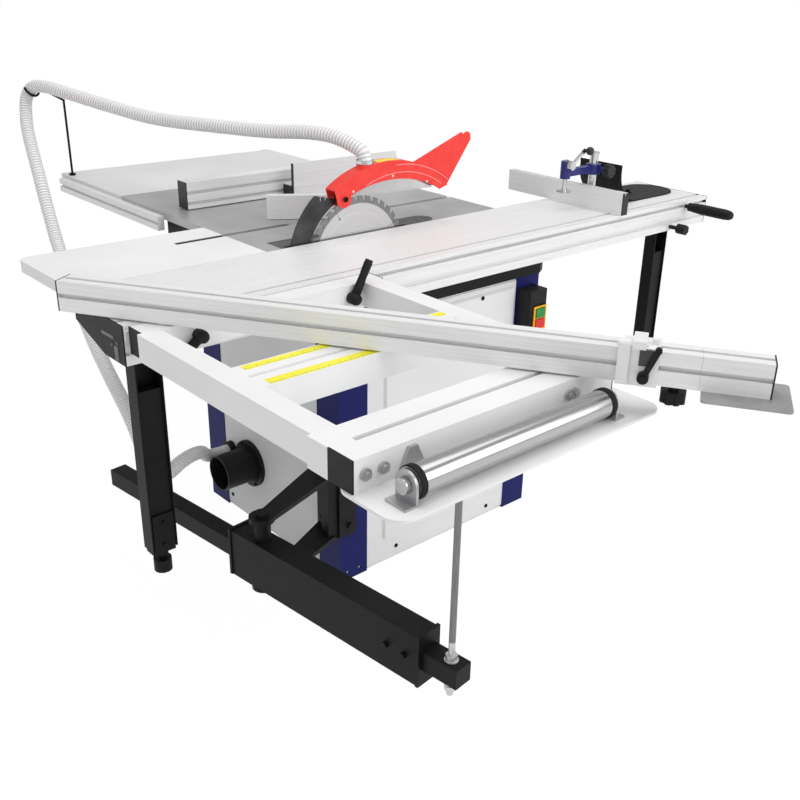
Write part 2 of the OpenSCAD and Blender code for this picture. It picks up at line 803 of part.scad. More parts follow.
module hold_down_arm() {
    z = [92, 122];
    color("midnightblue") at_table() difference() {
        union() {
            bar_z(44, clamp_at[0], clamp_at[1], z);
            block([clamp_at[0] - 120, clamp_at[0]], clamp_at[1] * [1, 1] + [-11, 11], z + [6, -4]);
            bar_z(30, clamp_at[0] - 130, clamp_at[1], z + [0, 20]);
            bar_y(14, clamp_at[0] + 6, clamp_at[1] * [1, 1] + [-44, -16], 107);
            translate([clamp_at[0] + 6, clamp_at[1] - 44, 107]) rotate([90, 0, 0])
                knob_shape(40, 20);
        }
        bar_z(26 + 2 * fit_gap, clamp_at[0], clamp_at[1], [z[0] - 1, z[1] + 1]);
        bar_z(12 + 2 * fit_gap, clamp_at[0] - 130, clamp_at[1], [z[0] - 1, z[1] + 21]);
    }
}

module hold_down_rod() {
    x = clamp_at[0] - 130;
    color("silver") at_table() {
        bar_z(12, x, clamp_at[1], [58, 146]);
        flat([52, 58]) rounded([x - 17, x + 17], clamp_at[1] * [1, 1] + [-17, 17], 4);
        bar_z(16, x, clamp_at[1], [58, 64]);
    }
}

module hold_down_lever() {
    x = clamp_at[0] - 130;
    color("black") at_table() translate([x, clamp_at[1] - 15 - run_gap, 132]) rotate([90, 0, 0]) {
        cylinder(d = 26, h = 12, $fn = 48);
        rotate([0, 0, 35]) translate([0, -4, 2]) cube([70, 8, 8]);
        rotate([0, 0, 35]) translate([68, 0, 2]) cylinder(d = 8, h = 20, $fn = 24);
        rotate([0, 0, 35]) translate([68, 0, 24]) sphere(d = 24, $fn = 32);
    }
}

// Blade unit: trunnion, carriage with motor, knife, guard and blade

module sector(r0, r1, a0, a1) {
    difference() {
        circle(r = r1, $fn = 96);
        circle(r = r0, $fn = 96);
        rotate([0, 0, a0 - 180]) translate([-300, 0]) square([600, 300]);
        rotate([0, 0, a1]) translate([-300, 0]) square([600, 300]);
    }
}

module tilt_trunnion() {
    color("dimgray") at_table() {
        for (x = [[28.3, 44.7], [660.3, 679.7]]) along_x(x) intersection() {
            sector(100, 130, -90, -10);
            translate([5, -130]) square([200, 90]);
        }
        block([44.7, 660.3], [76, 86], [-95, -60]);
        difference() {
            block([200, 500], [74, 84], [-290, -60]);
            block([motor_x - 35, motor_x + 35], [73, 85], [-291, motor_z + 34]);
        }
    }
}

module blade_carriage() {
    color("gray") at_table() {
        difference() {
            union() {
                block([180, 470], [40, 74 - run_gap], [-320, blade_z + 10]);
                bar_y(60, blade_setback, [6 + run_gap, 40], blade_z);
                block([75, 118], [knife_thick / 2, 50], [blade_z - 62, blade_z - 32]);
                block([110, 182], [12, 50], [blade_z - 62, blade_z - 32]);
            }
            bar_y(25 + 2 * fit_gap, blade_setback, [0, 80], blade_z);
        }
        bar_y(150, motor_x, [90, 270], motor_z);
        bar_y(60, motor_x, [50, 90], motor_z);
        for (y = [110:16:250]) bar_y(158, motor_x, [y, y + 5], motor_z);
    }
}

module ring_part(r0, r1)
    difference() {
        circle(r = r1, $fn = 128);
        circle(r = r0, $fn = 128);
    }

module riving_knife() {
    // The knife follows the rim of the blade and is cut level at its top.
    color("black") at_table() along_y([-knife_thick / 2, knife_thick / 2]) difference() {
        union() {
            intersection() {
                translate([blade_setback, blade_z]) ring_part(blade_r + 7.5, blade_r + 65.5);
                polygon([[40, blade_z - 52], [200, blade_z - 52], [220, 99], [157, 115], [40, 115]]);
            }
            intersection() {
                translate([blade_setback, blade_z]) ring_part(blade_r + 7.5, blade_r + 30);
                polygon([[200, 60], [215, 100], [212, 118], [240, 130], [252, 112], [250, 60]]);
            }
        }
        for (x = [172, 187]) {
            translate([x - 2.5, 102]) square([5, 20]);
            disc(5, [x, 102]);
        }
        disc(8.4, guard_bolt);
    }
}

module guard_circle(grow)
    disc(2 * (319.5 + grow), [384, blade_z - 79]);

module rim_circle(grow)
    disc(2 * (363 + grow), [390, blade_z - 171]);

module guard_side() {
    // The crescent ends in a round nose about the bolt and in a raised fin at the front.
    union() {
        intersection() {
            difference() {
                guard_circle(0);
                rim_circle(0);
            }
            polygon([[222, 60], [592, guard_bottom + 8], [592, 200], [300, 260], [204, 150],
                [204, 120]]);
        }
        disc(46, guard_bolt);
    }
}

module guard_cavity() {
    intersection() {
        guard_circle(-guard_wall);
        polygon([[200, 40], [592 - guard_wall, 40], [592 - guard_wall, 220], [200, 220]]);
    }
}

module fin_shape() {
    difference() {
        union() {
            polygon([[453, 164], [643, 233], [681, 213], [592, guard_bottom + 8],
                [566, guard_bottom], [500, 120]]);
            disc(28, [665, 219]);
        }
        rim_circle(0);
    }
}

module blade_guard() {
    y = guard_width / 2;
    color("red") at_table() {
        difference() {
            union() {
                along_y([-y, y]) guard_side();
                bar_z(44, port[0], 0, [port[1] - 6, port[1] + 4.2]);
                bar_z(24, port[0], 0, [port[1], port[1] + 9.5]);
            }
            along_y([-y + guard_wall, y - guard_wall]) guard_cavity();
            bar_z(18, port[0], 0, [port[1] - 30, port[1] + 14]);
        }
        along_y([-y + guard_wall, -y + 2 * guard_wall]) fin_shape();
        for (s = [-1, 1]) scale([1, s, 1]) {
            bar_y(20, guard_bolt[0], [knife_thick / 2, y - guard_wall], guard_bolt[1]);
            bar_y(13, guard_bolt[0], [y - 1, y + 5], guard_bolt[1]);
            bar_y(8, 220, [y - 1, y + 2], guard_bolt[1] + 24);
            for (rivet = [[272, 17], [411, 41], [535, 10]])
                bar_y(6, rivet[0], [y - 1, y + 1.5], guard_bolt[1] + rivet[1]);
        }
        bar_y(8, guard_bolt[0], [-y, y], guard_bolt[1]);
    }
}

module guard_window() {
    y = guard_width / 2 - guard_wall;
    color("gainsboro") at_table() difference() {
        along_y([-y, y]) intersection() {
            rim_circle(12);
            guard_circle(-guard_wall - 1);
            polygon([[262, guard_bottom + 10], [566, guard_bottom], [566, 160], [262, 160]]);
        }
        block([250, 600], [-y + 2.5, y - 2.5], [0, 200]);
        block([250, 600], [-y - 1, -y + guard_wall + 0.2], [0, 200]);
    }
}

module hose_clamp() {
    z = port[1] + 6;
    x = port[0] + hose_size / 2;
    color("silver") at_table() difference() {
        union() {
            bar_z(hose_size + 6, port[0], 0, [z, z + 8]);
            block([x, x + 11], [-6, 6], [z + 1, z + 7]);
        }
        bar_z(hose_size + 2, port[0], 0, [z - 1, z + 9]);
    }
}

module tooth_gap() {
    translate([blade_r, 0]) rotate([0, 0, 10]) polygon([[2, 2], [-9, 0.5], [-12, 4], [-9, 9],
        [2, 14]]);
}

module blade() {
    color("silver") at_table() translate([blade_setback, 0, blade_z]) {
        rotate([90, 0, 0]) translate([0, 0, -blade_thick / 2]) linear_extrude(blade_thick)
            difference() {
                circle(r = blade_r, $fn = 180);
                for (i = [0:tooth_count - 1]) rotate([0, 0, i * 360 / tooth_count]) tooth_gap();
                for (i = [0:3]) rotate([0, 0, i * 90 + 30]) {
                    translate([blade_r - 38, -0.8]) square([24, 1.6]);
                    disc(6, [blade_r - 38, 0]);
                }
            }
        for (y = [[-6.5, -1.5], [1.5, 6]]) bar_y(60, 0, y, 0);
        bar_y(25, 0, [-8.5, 39], 0);
    }
}

// Wheels on the operator's side

module wheel(y) {
    x = panel_front + run_gap;
    color("black") at_table() translate([x, y, wheel_z]) rotate([0, 90, 0]) {
        translate([0, 0, -12]) cylinder(d = 20, h = 60, $fn = 48);
        cylinder(d = 44, h = 34, $fn = 48);
        translate([0, 0, 34]) rotate_extrude($fn = 96) translate([handwheel / 2 - 10, 0])
            circle(d = 18, $fn = 32);
        for (a = [90, 210, 330]) rotate([0, 0, a]) translate([0, -7, 28])
            cube([handwheel / 2 - 12, 14, 8]);
        translate([0, handwheel / 2 - 12, 38]) rotate_extrude($fn = 32)
            polygon([[0, 0], [6, 0], [9, 20], [10, 55], [7, 64], [0, 64]]);
    }
}

module rise_handwheel() wheel(rise_wheel_y);

module tilt_handwheel() wheel(tilt_wheel_y);

// Rip fence

rip_y = 477;

module rip_carrier() {
    x1 = table_length + 40;
    color("silver") at_table() {
        along_x([x1 - rip_beam_length, x1]) difference() {
            translate([rip_y, 3]) square([45, 75]);
            for (z = [14, 44]) {
                translate([rip_y - 1, z]) square([6, 9]);
                translate([rip_y + 4, z - 4]) square([5, 17]);
            }
        }
        along_x([x1 - rip_beam_length - cap_thick, x1 - rip_beam_length])
            translate([rip_y, 3]) square([45, 75]);
        along_y([rip_y - 37, rip_y + 83]) difference() {
            polygon([[table_length + 1, -8 + run_gap], [table_length + 1, 3], [table_length + 70, 3],
                [table_length + 70, -50], [table_length + 12, -50],
                [table_length + 12, -40 - run_gap], [table_length + 30 + run_gap, -40 - run_gap],
                [table_length + 30 + run_gap, -8 + run_gap]]);
        }
        for (y = [rip_y - 37, rip_y + 45]) block([table_length + 8, table_length + 70], [y, y + 37],
            [3, 30]);
    }
}

module rip_face() {
    x0 = table_length - 409;
    color("gainsboro") at_table() {
        along_x([x0, x0 + rip_face_length]) difference() {
            union() {
                translate([rip_y - 51, 3]) square([8, rip_face_height]);
                translate([rip_y - 43, 3]) square([43 - run_gap, 35]);
            }
            translate([rip_y - 30, 30]) square([16, 9]);
        }
        along_x([x0 - cap_thick, x0]) union() {
            translate([rip_y - 51, 3]) square([8, rip_face_height]);
            translate([rip_y - 43, 3]) square([43 - run_gap, 35]);
        }
    }
}

module rip_lever() {
    color("black") at_table()
        translate([table_length + 70 + run_gap, rip_y + 22, -10]) rotate([0, 90, 0]) {
            cylinder(d = 24, h = 14, $fn = 48);
            translate([0, 0, 7]) rotate([0, 90, 0]) cylinder(d1 = 12, d2 = 9, h = 70, $fn = 32);
            translate([70, 0, 7]) rotate([0, 90, 0]) rotate_extrude($fn = 32)
                polygon([[0, 0], [7, 0], [10, 10], [9, 34], [5, 40], [0, 40]]);
        }
}

// Mitre gauge

mitre_pivot = [365, slot_offset];

module mitre_bar() {
    w = slot_width - 2 * run_gap;
    color("silver") at_table() difference() {
        block([200, 200 + mitre_bar_length], [slot_offset - w / 2, slot_offset + w / 2],
            [-slot_depth + run_gap, -0.5]);
        bar_z(10 + 2 * fit_gap, mitre_pivot[0], mitre_pivot[1], [-slot_depth, 1]);
    }
}

module mitre_fence() {
    z0 = 1;
    color("silver") at_table() {
        translate([mitre_pivot[0], mitre_pivot[1], 0]) rotate([0, 0, -33]) {
            along_x([-mitre_fence_length + 87, 87]) difference() {
                translate([-35, z0]) square([22, mitre_fence_height]);
                for (z = [8:8:mitre_fence_height - 8]) translate([-36, z]) square([2, 3]);
                translate([-19, mitre_fence_height / 2 - 4]) square([7, 8]);
            }
            translate([0, 0, z0]) linear_extrude(9) difference() {
                union() {
                    disc(90, [0, 0]);
                    translate([-45, -13]) square([90, 13]);
                }
                translate([-60, -60]) square([120, 47]);
            }
            translate([0, 0, -slot_depth + 1]) cylinder(d = 10, h = slot_depth, $fn = 32);
            translate([0, 0, 10]) cylinder(d = 14, h = 14, $fn = 32);
            translate([0, 0, 24]) knob_shape(42, 24);
        }
    }
}

// Controls, dust fittings and hose

module button_pocket(z) block([660 - run_gap, 695 + run_gap], [-320, -310], z + [-run_gap, run_gap]);

module switch_box() {
    color("dimgray") at_table() difference() {
        union() {
            block([640, 705], [-315, cabinet_y0], [-280, -150]);
            block([652, 703], [-319, -315], [-266, -194]);
        }
        button_pocket([-227, -201]);
        button_pocket([-258, -232]);
    }
}

module button(z) block([660, 695], [-323, -314.5], z);

module start_button() color("green") at_table() button([-227, -201]);

module stop_button() color("red") at_table() button([-258, -232]);

module dust_port() {
    color("black") at_table() {
        difference() {
            union() {
                bar_x(dust_pipe + 36, [panel_rear - 10, panel_rear], dust_y, dust_z);
                bar_x(dust_pipe + 10, [panel_rear - 16, panel_rear - 10], dust_y, dust_z);
                bar_x(dust_pipe, [panel_rear - 10 - dust_reach, panel_rear - 10], dust_y, dust_z);
                for (a = [0:60:300]) {
                    bar_x(9, [panel_rear - 14, panel_rear - 10],
                        dust_y + (dust_pipe / 2 + 12) * cos(a), dust_z + (dust_pipe / 2 + 12) * sin(a));
                }
            }
            bar_x(dust_pipe - 8, [panel_rear - 200, panel_rear + 1], dust_y, dust_z);
        }
        difference() {
            bar_x(hose_size + 12, [panel_rear - 18, panel_rear], hose_end_y, hose_end_z);
            bar_x(hose_size + 2 * run_gap, [panel_rear - 19, panel_rear + 1], hose_end_y, hose_end_z);
        }
    }
}

function catmull(p, i, t) =
    let (a = p[max(i - 1, 0)], b = p[i], c = p[i + 1], d = p[min(i + 2, len(p) - 1)])
    0.5 * ((2 * b) + (c - a) * t + (2 * a - 5 * b + 4 * c - d) * t * t
        + (3 * b - a - 3 * c + d) * t * t * t);

fine_steps = 24;
fine = [for (i = [0:len(hose_path) - 2], k = [0:fine_steps - 1])
    catmull(hose_path, i, k / fine_steps), hose_path[len(hose_path) - 1]];

function run(p, i = 0, sum = 0, out = []) =
    i >= len(p) ? out
    : run(p, i + 1, i + 1 < len(p) ? sum + norm(p[i + 1] - p[i]) : sum, concat(out, [sum]));

arc = run(fine);
hose_length = arc[len(arc) - 1];

// Point on the route at a distance from its start.
function at_length(s) =
    let (i = max([0, for (k = [0:len(arc) - 2]) if (arc[k] <= s) k]),
        t = (s - arc[i]) / (arc[i + 1] - arc[i]))
    fine[i] + (fine[i + 1] - fine[i]) * min(max(t, 0), 1);

function unit(v) = v / norm(v);

// Side vectors carried along the route without twist.
function carried(dirs, i = 1, out = [[0, -1, 0]]) =
    i >= len(dirs) ? out
    : let (last = out[i - 1], flat = last - dirs[i] * (last * dirs[i]))
      carried(dirs, i + 1, concat(out, [unit(flat)]));

function ring(at, dir, side, r) =
    let (up = cross(dir, side))
    [for (k = [0:7]) at + r * cos(45 * k) * side + r * sin(45 * k) * up];

function skin(first, rows, flip) =
    [for (i = [0:rows - 2], k = [0:7])
        let (a = first + 8 * i + k, b = first + 8 * i + (k + 1) % 8, c = a + 8, d = b + 8)
        for (f = flip ? [[a, b, c], [b, d, c]] : [[a, c, b], [b, c, d]]) f];

module dust_hose() {
    rings = 2 * hose_ribs + 1;
    inner_rings = floor(rings / 3);
    wall_r = hose_size / 2;
    steps = [for (i = [0:rings - 1]) hose_length * i / (rings - 1)];
    spots = [for (s = steps) at_length(s)];
    dirs = [for (i = [0:rings - 1])
        i == 0 ? [0, 0, 1] : i == rings - 1 ? [1, 0, 0] : unit(spots[i + 1] - spots[i - 1])];
    sides = carried(dirs);
    outer = [for (i = [0:rings - 1])
        each ring(spots[i], dirs[i], sides[i], wall_r - (i % 2 == 0 ? 2.2 : 0))];
    picks = [for (j = [0:inner_rings - 1]) round(j * (rings - 1) / (inner_rings - 1))];
    inner = [for (i = picks) each ring(spots[i], dirs[i], sides[i], wall_r - 5)];
    n = 8 * rings;
    m = n + 8 * (inner_rings - 1);
    start_face = [for (k = [0:7]) let (l = (k + 1) % 8)
        for (f = [[k, l, n + k], [l, n + l, n + k]]) f];
    end_face = [for (k = [0:7]) let (l = (k + 1) % 8, a = 8 * (rings - 1))
        for (f = [[a + k, m + k, a + l], [a + l, m + k, m + l]]) f];
    least = min([for (i = [0:8:rings - 1], j = [i + 8:8:rings - 1])
        if (j * hose_length / rings - i * hose_length / rings > 160)
            norm(spots[i] - spots[j]) - hose_size]);
    echo(hose_length = hose_length, least_gap = least);
    color("whitesmoke") at_table() polyhedron(points = concat(outer, inner),
        faces = concat(skin(0, rings, false), skin(n, inner_rings, true), start_face, end_face));
}

// Rod that stands on the far table and holds the hose in an open ring.

module hose_rod() {
    wire = 7;
    foot = [16, far_edge_y + far_width - 53, 0];
    bend = foot + [0, 0, 232];
    spot = at_length(hose_length * hook_share);
    dir = unit(at_length(hose_length * hook_share + 6) - at_length(hose_length * hook_share - 6));
    lean = acos(dir[2]);
    turn = atan2(dir[1], dir[0]);
    inward = [cos(lean) * cos(turn), cos(lean) * sin(turn), -sin(lean)];
    sideways = [-sin(turn), cos(turn), 0];
    ring_r = hose_size / 2 + 2 * run_gap + wire / 2;
    start = spot + ring_r * (cos(100) * inward - sin(100) * sideways);
    reach = start - bend;
    color("black") at_table() {
        bar_z(wire, foot[0], foot[1], [0, bend[2]]);
        bar_z(20, foot[0], foot[1], [0, 6]);
        translate(bend) sphere(d = wire + 1, $fn = 32);
        translate(bend) rotate([0, acos(reach[2] / norm(reach)), atan2(reach[1], reach[0])])
            cylinder(d = wire, h = norm(reach), $fn = 32);
        translate(start) sphere(d = wire + 1, $fn = 32);
        translate(spot) rotate([0, lean, turn]) rotate([0, 0, -100])
            rotate_extrude(angle = 200, $fn = 48) translate([ring_r, 0]) circle(d = wire, $fn = 24);
    }
}

// Hinge bracket on the cabinet corner and the swing arm under the crosscut frame

module arm_plate(z) {
    flat(z) difference() {
        union() {
            polygon([[cabinet_x0 - 4, -262], [cabinet_x0 - 4, -178], arm_pivot + [16, 25],
                arm_pivot + [-6, -29]]);
            disc(60, arm_pivot);
        }
        disc(20 + 2 * fit_gap, arm_pivot);
    }
}

module hinge_bracket() {
    z0 = arm_bottom - run_gap - 12;
    color("black") at_table() {
        block([cabinet_x0 - 4, cabinet_x0], [cabinet_y0 - 4, cabinet_y0 + post_width],
            [z0, arm_top + 140]);
        block([cabinet_x0, cabinet_x0 + 50], [cabinet_y0 - 4, cabinet_y0], [z0, arm_top + 140]);
        arm_plate([arm_top + 48, arm_top + 60]);
        arm_plate([z0, arm_bottom - run_gap]);
        block([cabinet_x0 - 34, cabinet_x0 - 4], [-262, -232], [arm_bottom - run_gap, arm_top + 48]);
        for (z = [z0 + 30, arm_top + 20, arm_top + 110]) {
            bar_x(16, [cabinet_x0 - 12, cabinet_x0 - 4], cabinet_y0 + 70, z);
            bar_y(16, cabinet_x0 + 28, [cabinet_y0 - 12, cabinet_y0 - 4], z);
        }
    }
}

module at_arm() at_table()
    translate([arm_pivot[0], arm_pivot[1], 0]) rotate([0, 0, arm_angle]) children();

module swing_arm() {
    half = arm_width / 2;
    wall = 4;
    hole = inner_tube / 2 + run_gap;
    color("black") at_arm() {
        difference() {
            union() {
                block([-half, half], [-arm_end, 87], [arm_bottom, arm_top]);
                for (y = [[-arm_end, 8 - arm_end], [79, 87]])
                    block([-half - 3, half + 3], y, [arm_bottom, arm_top + 3]);
                for (y = [42 - arm_end, 92 - arm_end]) bar_x(14, [-half - 8, half], y, (arm_bottom + arm_top) / 2);
            }
            block([-half + wall, half - wall], [8 - arm_end, 79], [arm_bottom + wall, arm_top - wall]);
            block([-hole, hole], [-arm_end - 1, 88], [tube_z0 - run_gap, tube_z1 + run_gap]);
        }
        bar_z(40, 0, 0, [arm_top, arm_top + 48 - run_gap]);
        bar_z(20, 0, 0, [arm_top + 40, arm_top + 66]);
        bar_z(32, 0, 0, [arm_top + 60 + run_gap, arm_top + 70]);
        bar_z(20, 0, 0, [arm_bottom - run_gap - 16, arm_bottom]);
    }
}

module swing_tube() {
    half = inner_tube / 2;
    color("black") at_arm() difference() {
        block([-half, half], [-arm_reach - 32, tube_back], [tube_z0, tube_z1]);
        bar_z(prop_size, 0, -arm_reach, [tube_z0 - 1, tube_z1 + 1]);
        block([-half + 4, half - 4], [-arm_reach - 20, tube_back - 8], [tube_z0 + 4, tube_z1 - 4]);
    }
}

module prop_rod() {
    color("silver") at_arm() {
        bar_z(prop_size, 0, -arm_reach, [tube_z0 - 40, -frame_tube - pad_sheet - run_gap]);
        for (z = [tube_z0 - 14, tube_z0 - 28, tube_z1 + 2]) translate([0, -arm_reach, z])
            hexagon(26, 12);
        for (z = [tube_z0 - 2, tube_z1]) bar_z(30, 0, -arm_reach, [z, z + 2]);
    }
}

corner_posts();
cabinet_panels();
upper_frame();
cast_table();
table_insert();
rear_table();
far_table();
fence_rails();
slide_beam();
beam_caps();
leg_channels();
dust_port();
switch_box();
hose_rod();
dust_hose();
hinge_bracket();
start_button();
stop_button();
rear_leg_foot();
front_leg_foot();
carriage();
carriage_caps();
crosscut_frame();
frame_fittings();
roller_plate();
push_handle();
shoe();
frame_roller();
rear_clamp_lever();
front_clamp_lever();
carriage_knob();
crosscut_fence();
fence_extension();
support_plate();
fence_knob();
stop_block();
stop_flap();
stop_lever();
short_fence();
hold_down_post();
hold_down_arm();
hold_down_lever();
hold_down_rod();
tilt_trunnion();
blade_carriage();
riving_knife();
blade_guard();
guard_window();
hose_clamp();
blade();
rise_handwheel();
tilt_handwheel();
rip_carrier();
rip_face();
rip_lever();
mitre_bar();
mitre_fence();
swing_arm();
swing_tube();
prop_rod();
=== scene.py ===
import math

import bmesh
import bpy
from mathutils import Matrix, Vector


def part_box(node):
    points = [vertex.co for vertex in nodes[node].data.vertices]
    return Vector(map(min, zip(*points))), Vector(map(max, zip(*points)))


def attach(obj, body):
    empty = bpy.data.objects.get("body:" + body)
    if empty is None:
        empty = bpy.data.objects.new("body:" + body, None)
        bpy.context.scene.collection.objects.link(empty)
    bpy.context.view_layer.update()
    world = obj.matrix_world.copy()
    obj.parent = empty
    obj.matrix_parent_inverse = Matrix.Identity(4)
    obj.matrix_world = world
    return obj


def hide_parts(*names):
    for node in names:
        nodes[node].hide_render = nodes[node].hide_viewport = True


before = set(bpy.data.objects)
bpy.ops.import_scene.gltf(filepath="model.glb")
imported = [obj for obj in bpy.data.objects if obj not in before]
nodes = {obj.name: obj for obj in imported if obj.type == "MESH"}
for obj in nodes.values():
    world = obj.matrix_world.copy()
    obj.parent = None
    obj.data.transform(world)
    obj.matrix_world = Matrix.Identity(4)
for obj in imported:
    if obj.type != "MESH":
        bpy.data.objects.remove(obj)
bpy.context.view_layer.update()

# Camera
# The camera stands off the saw's rear corner, on the side of the sliding carriage, and looks
# down along the machine. It is level but for a slight turn.
camera_at = Vector((-1.5789, -1.9706, 1.4866))
heading, dip, turn = math.radians(43.2), math.radians(24.33), math.radians(1.79)
focal_px, photo_px = 972.0, 800.0
centre_px = (427.6, 405.6)
sensor_mm = 36.0
ahead = Vector((math.sin(heading) * math.cos(dip), math.cos(heading) * math.cos(dip), -math.sin(dip)))
level_right = ahead.cross(Vector((0, 0, 1))).normalized()
level_up = level_right.cross(ahead)
right = math.cos(turn) * level_right + math.sin(turn) * level_up
up = -math.sin(turn) * level_right + math.cos(turn) * level_up
lens_data = bpy.data.cameras.new("photo_camera")
lens_data.sensor_width = sensor_mm
lens_data.lens = focal_px / photo_px * sensor_mm
lens_data.shift_x = (photo_px / 2 - centre_px[0]) / photo_px
lens_data.shift_y = (centre_px[1] - photo_px / 2) / photo_px
camera = bpy.data.objects.new("photo_camera", lens_data)
bpy.context.scene.collection.objects.link(camera)
turned = Matrix((right, up, -ahead)).transposed().to_4x4()
camera.matrix_world = Matrix.Translation(camera_at) @ turned
bpy.context.scene.camera = camera

# Dust hose
# A wire-wound hose of thin white plastic, about 37 mm across, runs from the guard over the ring
# of its rod and down to the cabinet. Its line is the one that part.scad gives, in metres.
hose_across = 0.0374
hose_line = [(0.023, 0, 1.0185), (0.023, 0.001, 1.03), (0.019, 0.016, 1.052), (-0.006, 0.082, 1.076),
    (-0.035, 0.158, 1.081), (-0.08, 0.279, 1.072), (-0.133, 0.422, 1.069), (-0.214, 0.64, 1.07),
    (-0.273, 0.8, 1.089), (-0.328, 0.949, 1.112), (-0.358, 1.04, 1.124), (-0.376, 1.098, 1.118),
    (-0.389, 1.124, 1.086), (-0.402, 1.112, 1.04), (-0.419, 1.07, 0.99), (-0.445, 0.97, 0.9),
    (-0.468, 0.866, 0.785), (-0.492, 0.763, 0.705), (-0.538, 0.56, 0.604), (-0.56, 0.436, 0.532),
    (-0.584, 0.305, 0.483), (-0.611, 0.165, 0.444), (-0.63, 0.075, 0.409), (-0.632, 0.04, 0.362),
    (-0.604, 0.052, 0.313), (-0.561, 0.075, 0.286), (-0.505, 0.11, 0.284), (-0.446, 0.152, 0.27),
    (-0.396, 0.196, 0.243), (-0.358, 0.228, 0.208), (-0.314, 0.243, 0.195), (-0.27, 0.243, 0.195)]


def between(points, i, t):
    """A point of the smooth curve through the points, at share t of the way from point i to the next."""
    a, b, c, d = (Vector(points[min(max(k, 0), len(points) - 1)]) for k in (i - 1, i, i + 1, i + 2))
    return 0.5 * (2 * b + (c - a) * t + (2 * a - 5 * b + 4 * c - d) * t * t
                  + (3 * b - a - 3 * c + d) * t ** 3)


steps_between = 24
fine_line = [between(hose_line, i, k / steps_between)
             for i in range(len(hose_line) - 1) for k in range(steps_between)]
fine_line.append(Vector(hose_line[-1]))
run = [0.0]
for one, other in zip(fine_line, fine_line[1:]):
    run.append(run[-1] + (other - one).length)
hose_length = run[-1]


def along_hose(distance):
    """The place on the hose's line at a distance from the guard."""
    k = next((i for i in range(len(run) - 1) if run[i + 1] >= distance), len(run) - 2)
    share = (distance - run[k]) / (run[k + 1] - run[k])
    return fine_line[k].lerp(fine_line[k + 1], min(max(share, 0), 1))


def new_piece(name, bm, body):
    """Turns a finished mesh into a piece that rides on a body."""
    mesh = bpy.data.meshes.new(name)
    bmesh.ops.recalc_face_normals(bm, faces=bm.faces)
    bm.to_mesh(mesh)
    bm.free()
    piece = bpy.data.objects.new(name, mesh)
    bpy.context.scene.collection.objects.link(piece)
    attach(piece, body)
    return piece


def ribbed_tube(bm, distances, radii, sides):
    """Rings of the given radii round the hose's line, joined side to side.

    The crest layer says how high each ring lies between the smallest and the largest radius.
    """
    crest = bm.verts.layers.float.new("crest")
    top, low = max(radii), min(radii)
    side = Vector((0, -1, 0))
    reach = 0.004
    rings = []
    for distance, radius in zip(distances, radii):
        ahead_on = (along_hose(distance + reach) - along_hose(distance - reach)).normalized()
        side = (side - ahead_on * side.dot(ahead_on)).normalized()
        other_side = ahead_on.cross(side)
        middle = along_hose(distance)
        ring = []
        for k in range(sides):
            angle = 2 * math.pi * k / sides
            vert = bm.verts.new(middle + radius * (math.cos(angle) * side + math.sin(angle) * other_side))
            vert[crest] = (radius - low) / (top - low)
            ring.append(vert)
        rings.append(ring)
    for one, other in zip(rings, rings[1:]):
        for k in range(sides):
            bm.faces.new((one[k], one[(k + 1) % sides], other[(k + 1) % sides], other[k]))
    bm.faces.new(rings[0])
    bm.faces.new(list(reversed(rings[-1])))


rib_pitch = 0.0092
rib_shape = ((0.0, 0.0), (0.22, 0.0002), (0.4, 0.0013), (0.62, 0.0014), (0.8, 0.0003))
hose_places, hose_radii = [], []
for rib in range(int(hose_length / rib_pitch)):
    for share, drop in rib_shape:
        hose_places.append((rib + share) * rib_pitch)
        hose_radii.append(hose_across / 2 - drop)
hose_places.append(hose_length)
hose_radii.append(hose_across / 2)
hose_sides = 26
bm = bmesh.new()
ribbed_tube(bm, hose_places, hose_radii, hose_sides)
hose = new_piece("ribbed_dust_hose", bm, "base")
for face in hose.data.polygons:
    face.use_smooth = True
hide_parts("dust_hose")


def grain_group():
    """Fine unevenness of a surface: stretched noise, as a value from Low to High and as a height."""
    group = bpy.data.node_groups.new("surface_grain", "ShaderNodeTree")
    for label in ("Vector", "Stretch"):
        group.interface.new_socket(label, in_out="INPUT", socket_type="NodeSocketVector")
    for label in ("Scale", "Low", "High"):
        group.interface.new_socket(label, in_out="INPUT", socket_type="NodeSocketFloat")
    for label in ("Value", "Height"):
        group.interface.new_socket(label, in_out="OUTPUT", socket_type="NodeSocketFloat")
    enter = group.nodes.new("NodeGroupInput")
    leave = group.nodes.new("NodeGroupOutput")
    stretch = group.nodes.new("ShaderNodeVectorMath")
    stretch.operation = "MULTIPLY"
    noise = group.nodes.new("ShaderNodeTexNoise")
    noise.inputs["Detail"].default_value = 3
    span = group.nodes.new("ShaderNodeMapRange")
    span.inputs["From Min"].default_value = 0.3
    span.inputs["From Max"].default_value = 0.7
    group.links.new(enter.outputs["Vector"], stretch.inputs[0])
    group.links.new(enter.outputs["Stretch"], stretch.inputs[1])
    group.links.new(stretch.outputs["Vector"], noise.inputs["Vector"])
    group.links.new(enter.outputs["Scale"], noise.inputs["Scale"])
    group.links.new(noise.outputs["Fac"], span.inputs["Value"])
    group.links.new(enter.outputs["Low"], span.inputs["To Min"])
    group.links.new(enter.outputs["High"], span.inputs["To Max"])
    group.links.new(span.outputs["Result"], leave.inputs["Value"])
    group.links.new(noise.outputs["Fac"], leave.inputs["Height"])
    return group


grain = grain_group()


